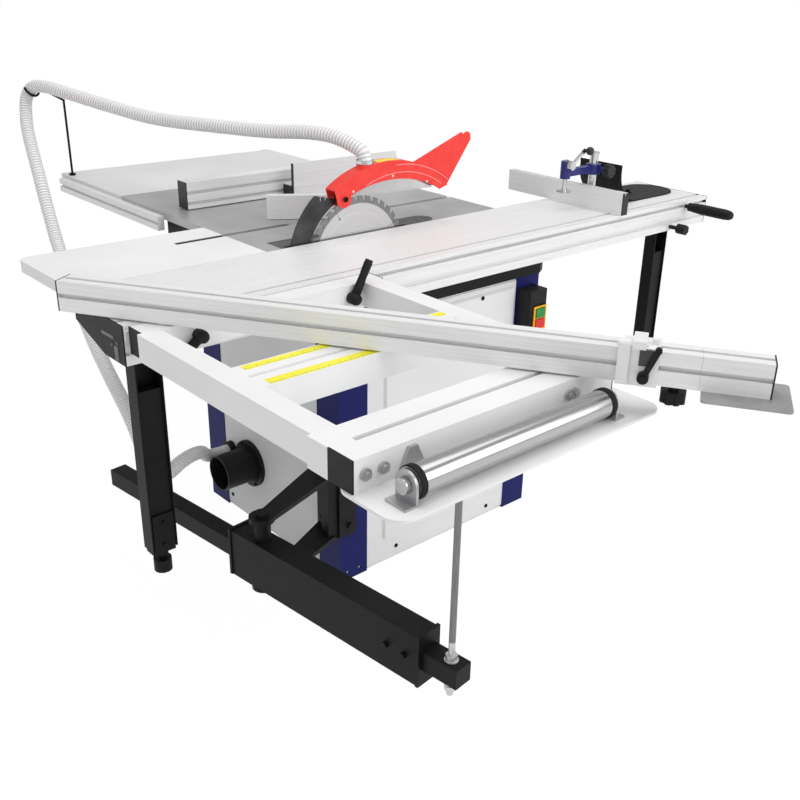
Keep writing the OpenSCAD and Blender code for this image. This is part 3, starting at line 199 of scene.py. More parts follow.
class Finish:
    """One material under way: its tree, its shader and the coordinates it reads."""

    first_colour, second_colour, mixed_colour = 6, 7, 2
    first_value, second_value, mixed_value = 2, 3, 0

    def __init__(self, name, metallic=0.0, **sockets):
        self.material = bpy.data.materials.new(name)
        self.material.use_nodes = True
        self.tree = self.material.node_tree
        self.shader = self.tree.nodes["Principled BSDF"]
        self.shader.inputs["Metallic"].default_value = metallic
        for label, value in sockets.items():
            self.shader.inputs[label.replace("_", " ")].default_value = value
        self.place = self.tree.nodes.new("ShaderNodeTexCoord").outputs["Object"]

    def node(self, kind, **settings):
        """A new node in the tree, with its settings."""
        made = self.tree.nodes.new(kind)
        for label, value in settings.items():
            setattr(made, label, value)
        return made

    def join(self, source, target):
        """Links an output to an input."""
        self.tree.links.new(source, target)

    def noise(self, scale, stretch, low, high):
        """One use of the shared grain, with its own scale, stretch and limits."""
        made = self.node("ShaderNodeGroup", node_tree=grain)
        self.join(self.place, made.inputs["Vector"])
        made.inputs["Scale"].default_value = scale
        made.inputs["Stretch"].default_value = stretch
        made.inputs["Low"].default_value = low
        made.inputs["High"].default_value = high
        return made

    def tones(self, mask, dark, light):
        """Base colour between two tones, by a mask."""
        mix = self.node("ShaderNodeMix", data_type="RGBA")
        self.join(mask, mix.inputs["Factor"])
        mix.inputs[self.first_colour].default_value = (*dark, 1)
        mix.inputs[self.second_colour].default_value = (*light, 1)
        return mix.outputs[self.mixed_colour]

    def over(self, mask, before, colour):
        """A colour laid over another one where the mask is 1."""
        mix = self.node("ShaderNodeMix", data_type="RGBA")
        self.join(mask, mix.inputs["Factor"])
        self.join(before, mix.inputs[self.first_colour])
        mix.inputs[self.second_colour].default_value = (*colour, 1)
        return mix.outputs[self.mixed_colour]

    def beyond(self, *planes):
        """1 where the object lies past every one of the planes, given as (direction, limit), else 0."""
        mask = None
        for direction, limit in planes:
            along = self.node("ShaderNodeVectorMath", operation="DOT_PRODUCT")
            whole_place = self.node("ShaderNodeTexCoord").outputs["Object"]
            self.join(whole_place, along.inputs[0])
            along.inputs[1].default_value = direction
            past = self.node("ShaderNodeMath", operation="GREATER_THAN")
            self.join(along.outputs["Value"], past.inputs[0])
            past.inputs[1].default_value = limit
            if mask is None:
                mask = past.outputs["Value"]
            else:
                both = self.node("ShaderNodeMath", operation="MULTIPLY")
                self.join(mask, both.inputs[0])
                self.join(past.outputs["Value"], both.inputs[1])
                mask = both.outputs["Value"]
        return mask

    def past(self, *planes, colour=(0.010, 0.010, 0.011), metallic=0.0):
        """Another colour past some planes, black plastic unless told, over the one it has."""
        mask = self.beyond(*planes)
        before = self.shader.inputs["Base Color"].links[0].from_socket
        self.join(self.over(mask, before, colour), self.shader.inputs["Base Color"])
        shine = self.node("ShaderNodeMix", data_type="FLOAT")
        self.join(mask, shine.inputs["Factor"])
        shine.inputs[self.first_value].default_value = self.shader.inputs["Metallic"].default_value
        shine.inputs[self.second_value].default_value = metallic
        self.join(shine.outputs[self.mixed_value], self.shader.inputs["Metallic"])
        return self.material

    def wear(self, colour, rough, bump=0.0, distance=0.0005):
        """Links colour and roughness to the shader, and the same grain's height as a bump."""
        self.join(colour, self.shader.inputs["Base Color"])
        self.join(rough.outputs["Value"], self.shader.inputs["Roughness"])
        if bump:
            dent = self.node("ShaderNodeBump")
            dent.inputs["Strength"].default_value = bump
            dent.inputs["Distance"].default_value = distance
            self.join(rough.outputs["Height"], dent.inputs["Height"])
            self.join(dent.outputs["Normal"], self.shader.inputs["Normal"])
        return self.material


def dress(material, *names):
    """Gives CAD nodes, or pieces of this file, one material."""
    for name in names:
        target = nodes[name] if isinstance(name, str) else name
        target.data.materials.clear()
        target.data.materials.append(material)


hose_skin = Finish("hose_plastic", Specular_IOR_Level=0.45, Subsurface_Weight=0.15)
# The hose's white is darker in the valleys between its ribs and lighter on their crests: painted shade in
# the valleys.
height = hose_skin.node("ShaderNodeAttribute", attribute_name="crest")
valley_shade_tones = hose_skin.tones(height.outputs["Fac"], (0.54, 0.54, 0.55), (0.88, 0.88, 0.88))
hose_white = hose_skin.wear(valley_shade_tones, hose_skin.noise(60, (1, 1, 1), 0.32, 0.5), 0.1)
dress(hose_white, hose)

# Corner posts
# Four posts of folded steel sheet stand at the corners of the cabinet and carry it.
# They are sprayed royal blue, and the near rear one ends in a flange with two bolt holes.
post_paint = Finish("royal_blue_paint", Specular_IOR_Level=0.12)
tone = post_paint.noise(9, (1, 1, 0.4), 0, 1)
blue = post_paint.tones(tone.outputs["Value"], (0.007, 0.009, 0.092), (0.011, 0.013, 0.125))
dress(post_paint.wear(blue, post_paint.noise(220, (1, 1, 1), 0.42, 0.55), 0.06, 0.0002), "corner_posts")


# Cabinet panels
# The sides are folded sheet with a raised field, powder coated light grey, and each is held
# by small black screws near its corners.
def powder_coat(name, dark, light, rough=(0.4, 0.55), shine=0.35):
    """Sprayed and baked paint: a faint cloudiness and an orange-peel surface."""
    coat = Finish(name, Specular_IOR_Level=shine)
    cloud = coat.noise(5, (1, 1, 1), 0, 1)
    colour = coat.tones(cloud.outputs["Value"], dark, light)
    coat.wear(colour, coat.noise(260, (1, 1, 1), *rough), 0.05, 0.0002)
    return coat


panel_grey = powder_coat("grey_panel_paint", (0.72, 0.72, 0.725), (0.78, 0.78, 0.785)).material
dress(panel_grey, "cabinet_panels")


def raised_plate(name, low, high, facing, edge, body):
    """A shallow field between two corners, sloped in at its edges towards the face that shows."""
    bm = bmesh.new()
    axis = next(k for k in range(3) if abs(facing[k]) > 0.5)
    flat = [k for k in range(3) if k != axis]
    back, front = (low[axis], high[axis]) if facing[axis] > 0 else (high[axis], low[axis])
    rings = []
    for level, inset in ((back, 0.0), (front, edge)):
        ring = []
        for a, b in ((0, 0), (1, 0), (1, 1), (0, 1)):
            spot = [0.0, 0.0, 0.0]
            spot[axis] = level
            spot[flat[0]] = (low, high)[a][flat[0]] + (inset if a == 0 else -inset)
            spot[flat[1]] = (low, high)[b][flat[1]] + (inset if b == 0 else -inset)
            ring.append(bm.verts.new(spot))
        rings.append(ring)
    for k in range(4):
        bm.faces.new((rings[0][k], rings[0][(k + 1) % 4], rings[1][(k + 1) % 4], rings[1][k]))
    bm.faces.new(rings[0])
    bm.faces.new(list(reversed(rings[1])))
    return new_piece(name, bm, body)


near_panel_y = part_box("cabinet_panels")[0].y
field_x, field_z, field_edge = (-0.129, 0.334), (0.075, 0.700), 0.006
field_proud, sunk = 0.007, 0.0005
field = raised_plate("near_panel_field", (field_x[0], near_panel_y - field_proud, field_z[0]),
                     (field_x[1], near_panel_y + sunk, field_z[1]), (0, -1, 0), field_edge, "base")
dress(panel_grey, field)

black_paint = powder_coat("black_paint", (0.006, 0.006, 0.0065), (0.010, 0.010, 0.0105),
                          (0.42, 0.56), 0.14).material


def revolved(bm, profile, sides, facing, at):
    """A turned shape: profile is (radius, height) pairs from the foot's edge to the top's middle."""
    turn_to = Vector(facing).to_track_quat("Z", "Y").to_matrix()
    rings = []
    on_axis = 1e-7
    for radius, height_up in profile:
        ring = []
        for k in range(sides if radius > on_axis else 1):
            angle = 2 * math.pi * k / sides
            spot = Vector((radius * math.cos(angle), radius * math.sin(angle), height_up))
            ring.append(bm.verts.new(turn_to @ spot + Vector(at)))
        rings.append(ring)
    for one, other in zip(rings, rings[1:]):
        for k in range(sides):
            corners = [one[k % len(one)], one[(k + 1) % len(one)],
                       other[(k + 1) % len(other)], other[k % len(other)]]
            unique = list(dict.fromkeys(corners))
            if len(unique) > 2:
                bm.faces.new(unique)
    if len(rings[0]) > 1:
        bm.faces.new(list(reversed(rings[0])))


def instances_tree(name):
    """Geometry Nodes tree: a copy of a pattern piece at each point, made real, in its material."""
    tree = bpy.data.node_groups.new(name, "GeometryNodeTree")
    tree.interface.new_socket("Points", in_out="INPUT", socket_type="NodeSocketGeometry")
    tree.interface.new_socket("Pattern", in_out="INPUT", socket_type="NodeSocketObject")
    tree.interface.new_socket("Size", in_out="INPUT", socket_type="NodeSocketFloat")
    tree.interface.new_socket("Finish", in_out="INPUT", socket_type="NodeSocketMaterial")
    tree.interface.new_socket("Result", in_out="OUTPUT", socket_type="NodeSocketGeometry")
    enter, leave = tree.nodes.new("NodeGroupInput"), tree.nodes.new("NodeGroupOutput")
    pattern = tree.nodes.new("GeometryNodeObjectInfo")
    place = tree.nodes.new("GeometryNodeInstanceOnPoints")
    real = tree.nodes.new("GeometryNodeRealizeInstances")
    paint = tree.nodes.new("GeometryNodeSetMaterial")
    tree.links.new(enter.outputs["Points"], place.inputs["Points"])
    tree.links.new(enter.outputs["Pattern"], pattern.inputs["Object"])
    tree.links.new(pattern.outputs["Geometry"], place.inputs["Instance"])
    tree.links.new(enter.outputs["Size"], place.inputs["Scale"])
    tree.links.new(place.outputs["Instances"], real.inputs["Geometry"])
    tree.links.new(real.outputs["Geometry"], paint.inputs["Geometry"])
    tree.links.new(enter.outputs["Finish"], paint.inputs["Material"])
    tree.links.new(paint.outputs["Geometry"], leave.inputs["Result"])
    return tree


copies = instances_tree("copies_on_points")
sockets = {item.name: item.identifier for item in copies.interface.items_tree
           if item.item_type == "SOCKET"}


def repeated(name, pattern_bm, points, material, body):
    """Copies of a small shape at the given points, as one plain mesh that rides on a body."""
    pattern_mesh = bpy.data.meshes.new(name + "_pattern")
    bmesh.ops.recalc_face_normals(pattern_bm, faces=pattern_bm.faces)
    pattern_bm.to_mesh(pattern_mesh)
    pattern_bm.free()
    pattern = bpy.data.objects.new(name + "_pattern", pattern_mesh)
    spots = bpy.data.meshes.new(name + "_points")
    spots.from_pydata([tuple(p) for p in points], [], [])
    carrier = bpy.data.objects.new(name + "_points", spots)
    bpy.context.scene.collection.objects.link(carrier)
    bpy.context.scene.collection.objects.link(pattern)
    step = carrier.modifiers.new("copies", "NODES")
    step.node_group = copies
    step[sockets["Pattern"]] = pattern
    step[sockets["Size"]] = 1.0
    step[sockets["Finish"]] = material
    evaluated = carrier.evaluated_get(bpy.context.evaluated_depsgraph_get())
    mesh = bpy.data.meshes.new_from_object(evaluated)
    mesh.name = name
    carrier.modifiers.clear()
    bpy.data.objects.remove(carrier)
    bpy.data.objects.remove(pattern)
    piece = bpy.data.objects.new(name, mesh)
    bpy.context.scene.collection.objects.link(piece)
    mesh.materials.clear()
    mesh.materials.append(material)
    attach(piece, body)


def screw_head(radius, height_up, facing):
    """Button head with a round socket."""
    bm = bmesh.new()
    socket = radius * 0.45
    profile = ((radius, 0), (radius, height_up * 0.5), (radius * 0.8, height_up * 0.9), (socket, height_up),
               (socket, height_up * 0.3), (0, height_up * 0.3))
    revolved(bm, profile, 12, facing, (0, 0, 0))
    return bm


panel_screw = (0.006, 0.003)
near_screws = [(-0.078, near_panel_y, 0.036), (0.274, near_panel_y, 0.03),
               (0.206, near_panel_y - field_proud, 0.69)]
repeated("near_panel_screws", screw_head(*panel_screw, (0, -1, 0)), near_screws, black_paint,
         "base")
rear_panel_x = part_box("cabinet_panels")[0].x
rear_screws = [(rear_panel_x, y, z) for y in (-0.15, 0.255) for z in (0.04, 0.69)]
repeated("rear_panel_screws", screw_head(*panel_screw, (-1, 0, 0)), rear_screws, black_paint,
         "base")

# Upper frame, legs, hinge bracket and swing arm
# Welded black steel sections carry the tables and the slide beam. Everything is sprayed in
# one satin black, as are the legs' feet and the rod that carries the hose.
dress(black_paint, "upper_frame", "leg_channels", "hinge_bracket", "rear_leg_foot", "front_leg_foot",
      "hose_rod", "swing_arm", "swing_tube")

# Cast table and its insert
# The table is grey cast iron, ground flat, so it shows fine lines along the cut and a dull
# sheen. The insert beside the blade is a dark plate with two sunk screws.
cast = Finish("ground_cast_iron", metallic=0.35)
lines = cast.noise(30, (1.5, 60, 1), 0.30, 0.46)
patches = cast.noise(7, (1, 1, 1), 0, 1)
cast_grey = cast.tones(patches.outputs["Value"], (0.38, 0.38, 0.385), (0.48, 0.48, 0.485))
dress(cast.wear(cast_grey, lines, 0.08, 0.0002), "cast_table")
dark_steel = Finish("dark_insert_steel", metallic=0.4)
smear = dark_steel.noise(14, (1, 4, 1), 0, 1)
insert_grey = dark_steel.tones(smear.outputs["Value"], (0.06, 0.06, 0.062), (0.11, 0.11, 0.113))
dress(dark_steel.wear(insert_grey, dark_steel.noise(90, (1, 12, 1), 0.35, 0.5), 0.06, 0.0002),
      "table_insert")

# Extension tables
# The rear and far tables are folded sheet steel, sprayed white and light grey. The far one
# carries the rod of the hose. Inside the slot of the rear one, a dark grey is painted as shade.
white_tones = ((0.80, 0.80, 0.80), (0.85, 0.85, 0.85), (0.4, 0.52), 0.25)
rear_white_and_slot_shade = powder_coat("rear_table_paint_and_slot_shade", *white_tones)
slot_y, slot_from_x, slot_top_z = (0.1750, 0.1950), -0.4325, 0.8385
# Below the top of the rear table, the walls of its slot get a dark grey: painted shade in the slot.
dress(rear_white_and_slot_shade.past(((0, 1, 0), slot_y[0]), ((0, -1, 0), -slot_y[1]), ((0, 0, -1), -slot_top_z),
                      ((1, 0, 0), slot_from_x), colour=(0.06, 0.06, 0.062)), "rear_table")
table_white = powder_coat("white_paint", *white_tones).material
table_grey = powder_coat("pale_table_paint", (0.70, 0.70, 0.70), (0.76, 0.76, 0.76), (0.4, 0.52), 0.25)
dress(table_grey.material, "far_table")


# Slide beam, carriage and rails
# They are aluminium extrusions, anodised silver. Drawing and brushing leave fine lines that
# run along each length.
def extrusion(name, along, dark, light, rough):
    """Anodised aluminium with fine lines along one direction."""
    metal = Finish(name, metallic=0.15)
    stretch = tuple(1.0 if abs(a) > 0.5 else 55.0 for a in along)
    lines_along = metal.noise(24, stretch, *rough)
    shade = metal.noise(6, stretch, 0, 1)
    metal.wear(metal.tones(shade.outputs["Value"], dark, light), lines_along, 0.05, 0.0002)
    return metal


silver = ((0.77, 0.77, 0.775), (0.85, 0.85, 0.855), (0.36, 0.50))
dress(extrusion("anodised_along_cut", (1, 0, 0), *silver).material, "slide_beam", "carriage")
dress(extrusion("anodised_across_cut", (0, 1, 0), *silver).material, "fence_rails")
cap_deep = 0.003
short_silver = extrusion("anodised_short_fence", (0, 1, 0), *silver)
dress(short_silver.past(((0, -1, 0), -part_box("short_fence")[0].y - cap_deep)), "short_fence")


# Caps, handles, knobs and the dust port
# These are moulded in black plastic or stamped in black sheet, with the fine sandy texture
# of a mould and a dull shine.
def moulded(name, dark, light, rough=(0.42, 0.6), shine=0.3):
    """Moulded plastic with the fine texture of its mould."""
    plastic = Finish(name, Specular_IOR_Level=shine)
    speck = plastic.noise(40, (1, 1, 1), 0, 1)
    plastic.wear(plastic.tones(speck.outputs["Value"], dark, light),
                 plastic.noise(700, (1, 1, 1), *rough), 0.12, 0.0003)
    return plastic


black_tones = ((0.007, 0.007, 0.0075), (0.013, 0.013, 0.0135), (0.42, 0.6), 0.2)
black_plastic = moulded("black_plastic", *black_tones).material
dress(black_plastic, "beam_caps", "push_handle", "dust_port", "rear_clamp_lever",
      "front_clamp_lever", "carriage_knob", "fence_knob", "stop_lever", "rise_handwheel",
      "tilt_handwheel", "rip_lever", "switch_box", "shoe")
frame_cap = moulded("frame_cap_plastic", *black_tones)
white_part_y = (-0.945, -0.885)
dress(frame_cap.past(((0, 1, 0), white_part_y[0]), ((0, -1, 0), -white_part_y[1]),
                     colour=(0.82, 0.82, 0.82)), "carriage_caps")

# Rear cap of the slide beam
# Two light ribs, one upright and one level, mark the openings of the moulded cap, and two
# small screws hold it to the beam.
cap_face_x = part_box("beam_caps")[0].x
cap_grey = moulded("cap_rib_grey", (0.17, 0.17, 0.172), (0.25, 0.25, 0.252), (0.5, 0.65), 0.2).material
rib_spans = {"upright_cap_rib": ((-0.262, 0.7585), (-0.247, 0.790)),
             "level_cap_rib": ((-0.246, 0.801), (-0.196, 0.8085))}
rib_proud, rib_sunk, rib_edge = 0.0015, 0.0003, 0.001
for name, (low, high) in rib_spans.items():
    rib = raised_plate(name, (cap_face_x - rib_proud, *low), (cap_face_x + rib_sunk, *high),
                       (-1, 0, 0), rib_edge, "base")
    dress(cap_grey, rib)
cap_screws = [(cap_face_x, y, z) for y, z in ((-0.236, 0.788), (-0.260, 0.797))]
repeated("beam_cap_screws", screw_head(0.0035, 0.002, (-1, 0, 0)), cap_screws, cap_grey,
         "base")

# Clamp levers
# Two clamp levers lock the frame to the carriage. Each has a thick moulded grip over its steel
# arm and a round hub on the frame's inner member.
grip_shape = ((0.0085, 0.004), (0.0105, 0.008), (0.0100, 0.030), (0.0088, 0.056), (0.0094, 0.062),
              (0.0096, 0.084), (0.0084, 0.0925), (0, 0.093))
hub_shape = ((0.0135, 0.0005), (0.0135, 0.019), (0.0118, 0.0245), (0.006, 0.0262), (0, 0.0265))
arm_off, hub_z = 0.011, 0.811
for side, hub_x, lean_degrees in (("rear", -0.680, 218), ("front", -0.296, 62)):
    hub_at = Vector((hub_x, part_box(f"{side}_clamp_lever")[1].y, hub_z))
    lean = math.radians(lean_degrees)
    arm_way = (math.cos(lean), 0, math.sin(lean))
    bm = bmesh.new()
    revolved(bm, grip_shape, 28, arm_way, hub_at - Vector((0, arm_off, 0)))
    revolved(bm, hub_shape, 36, (0, -1, 0), hub_at)
    grip = new_piece(f"{side}_lever_grip", bm, f"{side}_clamp")
    for face in grip.data.polygons:
        face.use_smooth = len(face.vertices) < 5
    dress(black_plastic, grip)

# Crosscut frame, roller plate and stop flap
# The frame is welded from box tube and sprayed white. The plate below its roller and the flap
# of the fence's stop are bent from sheet and are white too.
dress(table_white, "crosscut_frame", "stop_flap", "roller_plate")

# Scales on the crosscut frame
# Two steel-backed strips of yellow film lie on the middle member, one on each side of its
# slot, printed in black with a line for every five millimetres.
frame_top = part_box("crosscut_frame")[1].z
scale_x = (-0.745, -0.264)
scale_rows = ((-0.697, -0.675), (-0.620, -0.600))
yellow_film = moulded("yellow_scale_film", (0.86, 0.80, 0.04), (0.92, 0.87, 0.07), (0.35, 0.45)).material
film_thick, film_edge = 0.0004, 0.0001
for row, (edge_y, other_y) in enumerate(scale_rows):
    strip = raised_plate(f"yellow_scale_{row}", (scale_x[0], edge_y, frame_top - film_thick),
                         (scale_x[1], other_y, frame_top + film_thick), (0, 0, 1), film_edge,
                         "carriage")
    dress(yellow_film, strip)


def ink_line(wide, long, thick=0.0002):
    """A flat printed line, standing across the scale."""
    bm = bmesh.new()
    bmesh.ops.create_cube(bm, size=1, matrix=Matrix.Diagonal((wide, long, thick, 1)))
    return bm


ink_z, ink_wide = frame_top + film_thick, 0.0006
tick_step, first_tick, tick_margin = 0.005, 0.002, 0.0005
ticks = range(int((scale_x[1] - scale_x[0]) / tick_step))
for name, fifth, long in (("short", False, 0.004), ("long", True, 0.009)):
    spots = [(scale_x[0] + first_tick + tick_step * k, edge_y + long / 2 + tick_margin, ink_z)
             for edge_y, _ in scale_rows for k in ticks if (k % 5 == 0) == fifth]
    repeated(f"scale_{name}_lines", ink_line(ink_wide, long), spots, black_paint,
             "carriage")

# Crosscut fence
# A long anodised extrusion turns on a pivot of the frame, and a second one slides out of its
# end. Each has a black moulded cap, and the stop rides along both.
fence_lean = math.radians(-57.5)
fence_way = (math.cos(fence_lean), math.sin(fence_lean), 0)
fence_pivot = (-0.730, -0.312)
pivot_along, pivot_across, fence_long = 0.2165, 0.025, 1.344
fence_start = (fence_pivot[0] * fence_way[0] + fence_pivot[1] * fence_way[1]) - pivot_along
fence_end = fence_start + fence_long


def fence_silver(name):
    """The fence's aluminium, with lines along it."""
    metal = Finish(name, metallic=0.15)
    spin = metal.node("ShaderNodeMapping")
    spin.inputs["Rotation"].default_value = (0, 0, -fence_lean)
    metal.join(metal.place, spin.inputs["Vector"])
    metal.place = spin.outputs["Vector"]
    fine = metal.noise(24, (1, 55, 55), 0.36, 0.50)
    shade = metal.noise(6, (1, 55, 55), 0, 1)
    metal.wear(metal.tones(shade.outputs["Value"], *silver[:2]), fine, 0.05, 0.0002)
    return metal


dress(fence_silver("anodised_stop").material, "stop_block")
backwards = [-part for part in fence_way]
dress(fence_silver("anodised_fence").past((backwards, -fence_start)), "crosscut_fence")
dress(fence_silver("anodised_fence_extension").past((fence_way, fence_end)), "fence_extension")

# Stop pad
# A dark moulded pad with rounded edges is fixed to the stop's near wall, above the hub of its
# clamp lever. It is placed along, across and above the fence.
pad_size = (0.024, 0.004, 0.030)
pad_middle = (1.136, -0.0063, 0.054)
table_top = 0.840
on_fence = (Matrix.Translation((*fence_pivot, table_top)) @ Matrix.Rotation(fence_lean, 4, "Z")
            @ Matrix.Translation((-pivot_along, -pivot_across, 0)))
bm = bmesh.new()
bmesh.ops.create_cube(bm, size=1, matrix=Matrix.Translation(pad_middle) @ Matrix.Diagonal((*pad_size, 1)))
bmesh.ops.bevel(bm, geom=bm.edges[:], offset=0.0012, segments=2, profile=0.5, affect="EDGES")
bm.transform(on_fence)
pad = new_piece("stop_pad", bm, "stop")
pad_black = moulded("stop_pad_plastic", (0.035, 0.035, 0.036), (0.06, 0.06, 0.061), (0.3, 0.42), 0.4)
dress(pad_black.material, pad)


# Roller, rod, fittings and plates of bare steel
# They are turned or cut from steel and left bare, polished, or plated with zinc or chrome. The
# thread at the foot of the prop rod is brighter than the rod.
def bare_steel(name, dark, light, rough, stretch=(1, 1, 1), metallic=1.0, dent=0.05):
    """Bare or plated steel, mottled, with a fine grain as deep as dent says."""
    steel = Finish(name, metallic=metallic)
    mottle = steel.noise(18, stretch, 0, 1)
    steel.wear(steel.tones(mottle.outputs["Value"], dark, light),
               steel.noise(120, stretch, *rough), dent, 0.0002)
    return steel


zinc = bare_steel("zinc_plated_steel", (0.40, 0.40, 0.41), (0.52, 0.52, 0.53), (0.30, 0.44),
                  metallic=0.7)
dress(zinc.material, "frame_fittings", "mitre_bar")
rod_steel = bare_steel("rod_steel", (0.17, 0.17, 0.172), (0.24, 0.24, 0.243), (0.38, 0.5),
                       (30, 30, 1), 0.6)
thread_length = 0.045
thread_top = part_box("swing_tube")[1].z + thread_length
dress(rod_steel.past(((0, 0, -1), -thread_top), colour=(0.62, 0.62, 0.625), metallic=0.8), "prop_rod")
roller_steel = bare_steel("roller_steel", (0.45, 0.45, 0.455), (0.49, 0.49, 0.495), (0.16, 0.20),
                          (1, 30, 30), 0.9, 0.008)
dress(roller_steel.material, "frame_roller")
plate_steel = bare_steel("plate_steel", (0.30, 0.30, 0.305), (0.40, 0.40, 0.405), (0.38, 0.5),
                         metallic=0.5)
dress(plate_steel.material, "support_plate")
chrome = bare_steel("chrome_plate", (0.60, 0.60, 0.61), (0.70, 0.70, 0.71), (0.10, 0.2)).material
dress(chrome, "hold_down_post", "hold_down_rod", "hose_clamp")

# Roller rings
# A black rubber ring with rounded edges is pressed on each end of the roller and grips the
# work. It stands a little proud of the steel.
roller_low, roller_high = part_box("frame_roller")
roller_y, roller_z = (roller_low.y + roller_high.y) / 2, (roller_low.z + roller_high.z) / 2
ring_wide, ring_radius, ring_inside = 0.012, 0.0270, 0.0240
ring_round, edge_drop = 0.0012, 0.0006


def rubber_ring(start):
    """A rounded band about the roller's axis, open inside, from start along X."""
    bm = bmesh.new()
    outline = ((0, ring_inside), (0, ring_radius - edge_drop), (ring_round, ring_radius),
               (ring_wide - ring_round, ring_radius), (ring_wide, ring_radius - edge_drop),
               (ring_wide, ring_inside))
    sides = 48
    rows = [[bm.verts.new((start + across, roller_y + radius * math.cos(2 * math.pi * k / sides),
                           roller_z + radius * math.sin(2 * math.pi * k / sides))) for k in range(sides)]
            for across, radius in outline]
    for one, other in zip(rows, rows[1:] + rows[:1]):
        for k in range(sides):
            bm.faces.new((one[k], one[(k + 1) % sides], other[(k + 1) % sides], other[k]))
    return bm


rubber = moulded("black_rubber", (0.008, 0.008, 0.008), (0.014, 0.014, 0.014), (0.6, 0.75), 0.2).material
ring_starts = (("rear", -0.761), ("front", -0.313 - ring_wide))
for name, start in ring_starts:
    ring = new_piece(f"{name}_roller_ring", rubber_ring(start), "roller")
    dress(rubber, ring)

# Hold-down clamp
# The cast arm is painted blue and its knob is black plastic. The lever is a plated rod with
# a black ball.
arm_paint = Finish("clamp_blue_paint", Specular_IOR_Level=0.4)
arm_tone = arm_paint.noise(30, (1, 1, 1), 0, 1)
arm_paint.wear(arm_paint.tones(arm_tone.outputs["Value"], (0.016, 0.018, 0.13), (0.022, 0.026, 0.18)),
               arm_paint.noise(240, (1, 1, 1), 0.28, 0.4), 0.05, 0.0002)
knob_deep = 0.0205
knob_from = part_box("hold_down_arm")[0].y + knob_deep
dress(arm_paint.past(((0, -1, 0), -knob_from)), "hold_down_arm")
lever_lean = math.radians(35)
lever_way = (math.cos(lever_lean), 0, math.sin(lever_lean))
lever_pivot = Vector((0.662, 0, 0.972))
lever_chrome = Finish("lever_chrome", metallic=1.0)
lever_tone = lever_chrome.noise(30, (1, 1, 1), 0, 1)
lever_chrome.wear(lever_chrome.tones(lever_tone.outputs["Value"], (0.6, 0.6, 0.61), (0.7, 0.7, 0.71)),
                  lever_chrome.noise(150, (1, 1, 1), 0.12, 0.22))
ball_from = 0.055
ball_past = lever_pivot.dot(Vector(lever_way)) + ball_from
dress(lever_chrome.past((lever_way, ball_past)), "hold_down_lever")

# Tilting unit
# The trunnion and the arbor's housing are iron castings inside the cabinet, painted a dark
# machine grey, and the blade and its guard are carried by them.
machine_grey = powder_coat("machine_grey_paint", (0.20, 0.20, 0.21), (0.26, 0.26, 0.27)).material
dress(machine_grey, "tilt_trunnion", "blade_carriage")

# Rip fence and mitre gauge
# Both are anodised extrusions that slide over the cast table. The two parts of the rip fence
# have a black cap at their rear ends.
for piece in ("rip_carrier", "rip_face"):
    capped = extrusion(f"anodised_{piece}", (1, 0, 0), *silver)
    dress(capped.past(((-1, 0, 0), -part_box(piece)[0].x - cap_deep)), piece)
# The mitre fence uses the same anodised aluminium in a lighter copy of the silver: painted light on faces
# that the lamps leave in shade.
lit_mitre_silver = extrusion("anodised_mitre_fence_lit", (1, 0, 0), (0.83, 0.83, 0.835), (0.9, 0.9, 0.905),
                         (0.36, 0.5))
dress(lit_mitre_silver.material, "mitre_fence")

# Blade, knife and guard
# The blade is brushed round its arbor and darker along its teeth. The knife is blackened
# steel, and the guard is red moulded plastic with a clear strip at its lower edge.
blade_metal = Finish("brushed_blade_steel", metallic=1.0)
blade_low, blade_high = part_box("blade")
hub = ((blade_low.x + blade_high.x) / 2, 0, (blade_low.z + blade_high.z) / 2)
apart = blade_metal.node("ShaderNodeSeparateXYZ")
centred = blade_metal.node("ShaderNodeMapping")
centred.inputs["Location"].default_value = (-hub[0], 0, -hub[2])
blade_metal.join(blade_metal.place, centred.inputs["Vector"])
blade_metal.join(centred.outputs["Vector"], apart.inputs["Vector"])
flat_place = blade_metal.node("ShaderNodeCombineXYZ")
blade_metal.join(apart.outputs["X"], flat_place.inputs["X"])
blade_metal.join(apart.outputs["Z"], flat_place.inputs["Z"])
from_hub = blade_metal.node("ShaderNodeVectorMath", operation="LENGTH")
blade_metal.join(flat_place.outputs["Vector"], from_hub.inputs[0])
rings_only = blade_metal.node("ShaderNodeCombineXYZ")
blade_metal.join(from_hub.outputs["Value"], rings_only.inputs["X"])
blade_metal.place = rings_only.outputs["Vector"]
brushed = blade_metal.noise(900, (1, 1, 1), 0.26, 0.42)
shine = blade_metal.noise(160, (1, 1, 1), 0, 1)
disc_colour = blade_metal.tones(shine.outputs["Value"], (0.54, 0.54, 0.545), (0.66, 0.66, 0.665))
tooth_ring_from = 0.1385
tooth_ring = blade_metal.node("ShaderNodeMath", operation="GREATER_THAN")
blade_metal.join(from_hub.outputs["Value"], tooth_ring.inputs[0])
tooth_ring.inputs[1].default_value = tooth_ring_from
ringed = blade_metal.over(tooth_ring.outputs["Value"], disc_colour, (0.24, 0.24, 0.243))
dress(blade_metal.wear(ringed, brushed, 0.08, 0.0002), "blade")
dress(bare_steel("blackened_steel", (0.05, 0.05, 0.052), (0.09, 0.09, 0.092), (0.4, 0.55)).material,
      "riving_knife")
guard_red = moulded("guard_red_plastic", (0.84, 0.045, 0.036), (0.92, 0.06, 0.048), (0.30, 0.42)).material
dress(guard_red, "blade_guard")
window = Finish("clear_plastic", Transmission_Weight=0.75, IOR=1.46, Specular_IOR_Level=0.5)
haze = window.noise(30, (1, 1, 1), 0, 1)
dress(window.wear(window.tones(haze.outputs["Value"], (0.86, 0.87, 0.88), (0.94, 0.95, 0.96)),
                  window.noise(150, (1, 1, 1), 0.12, 0.25)), "guard_window")


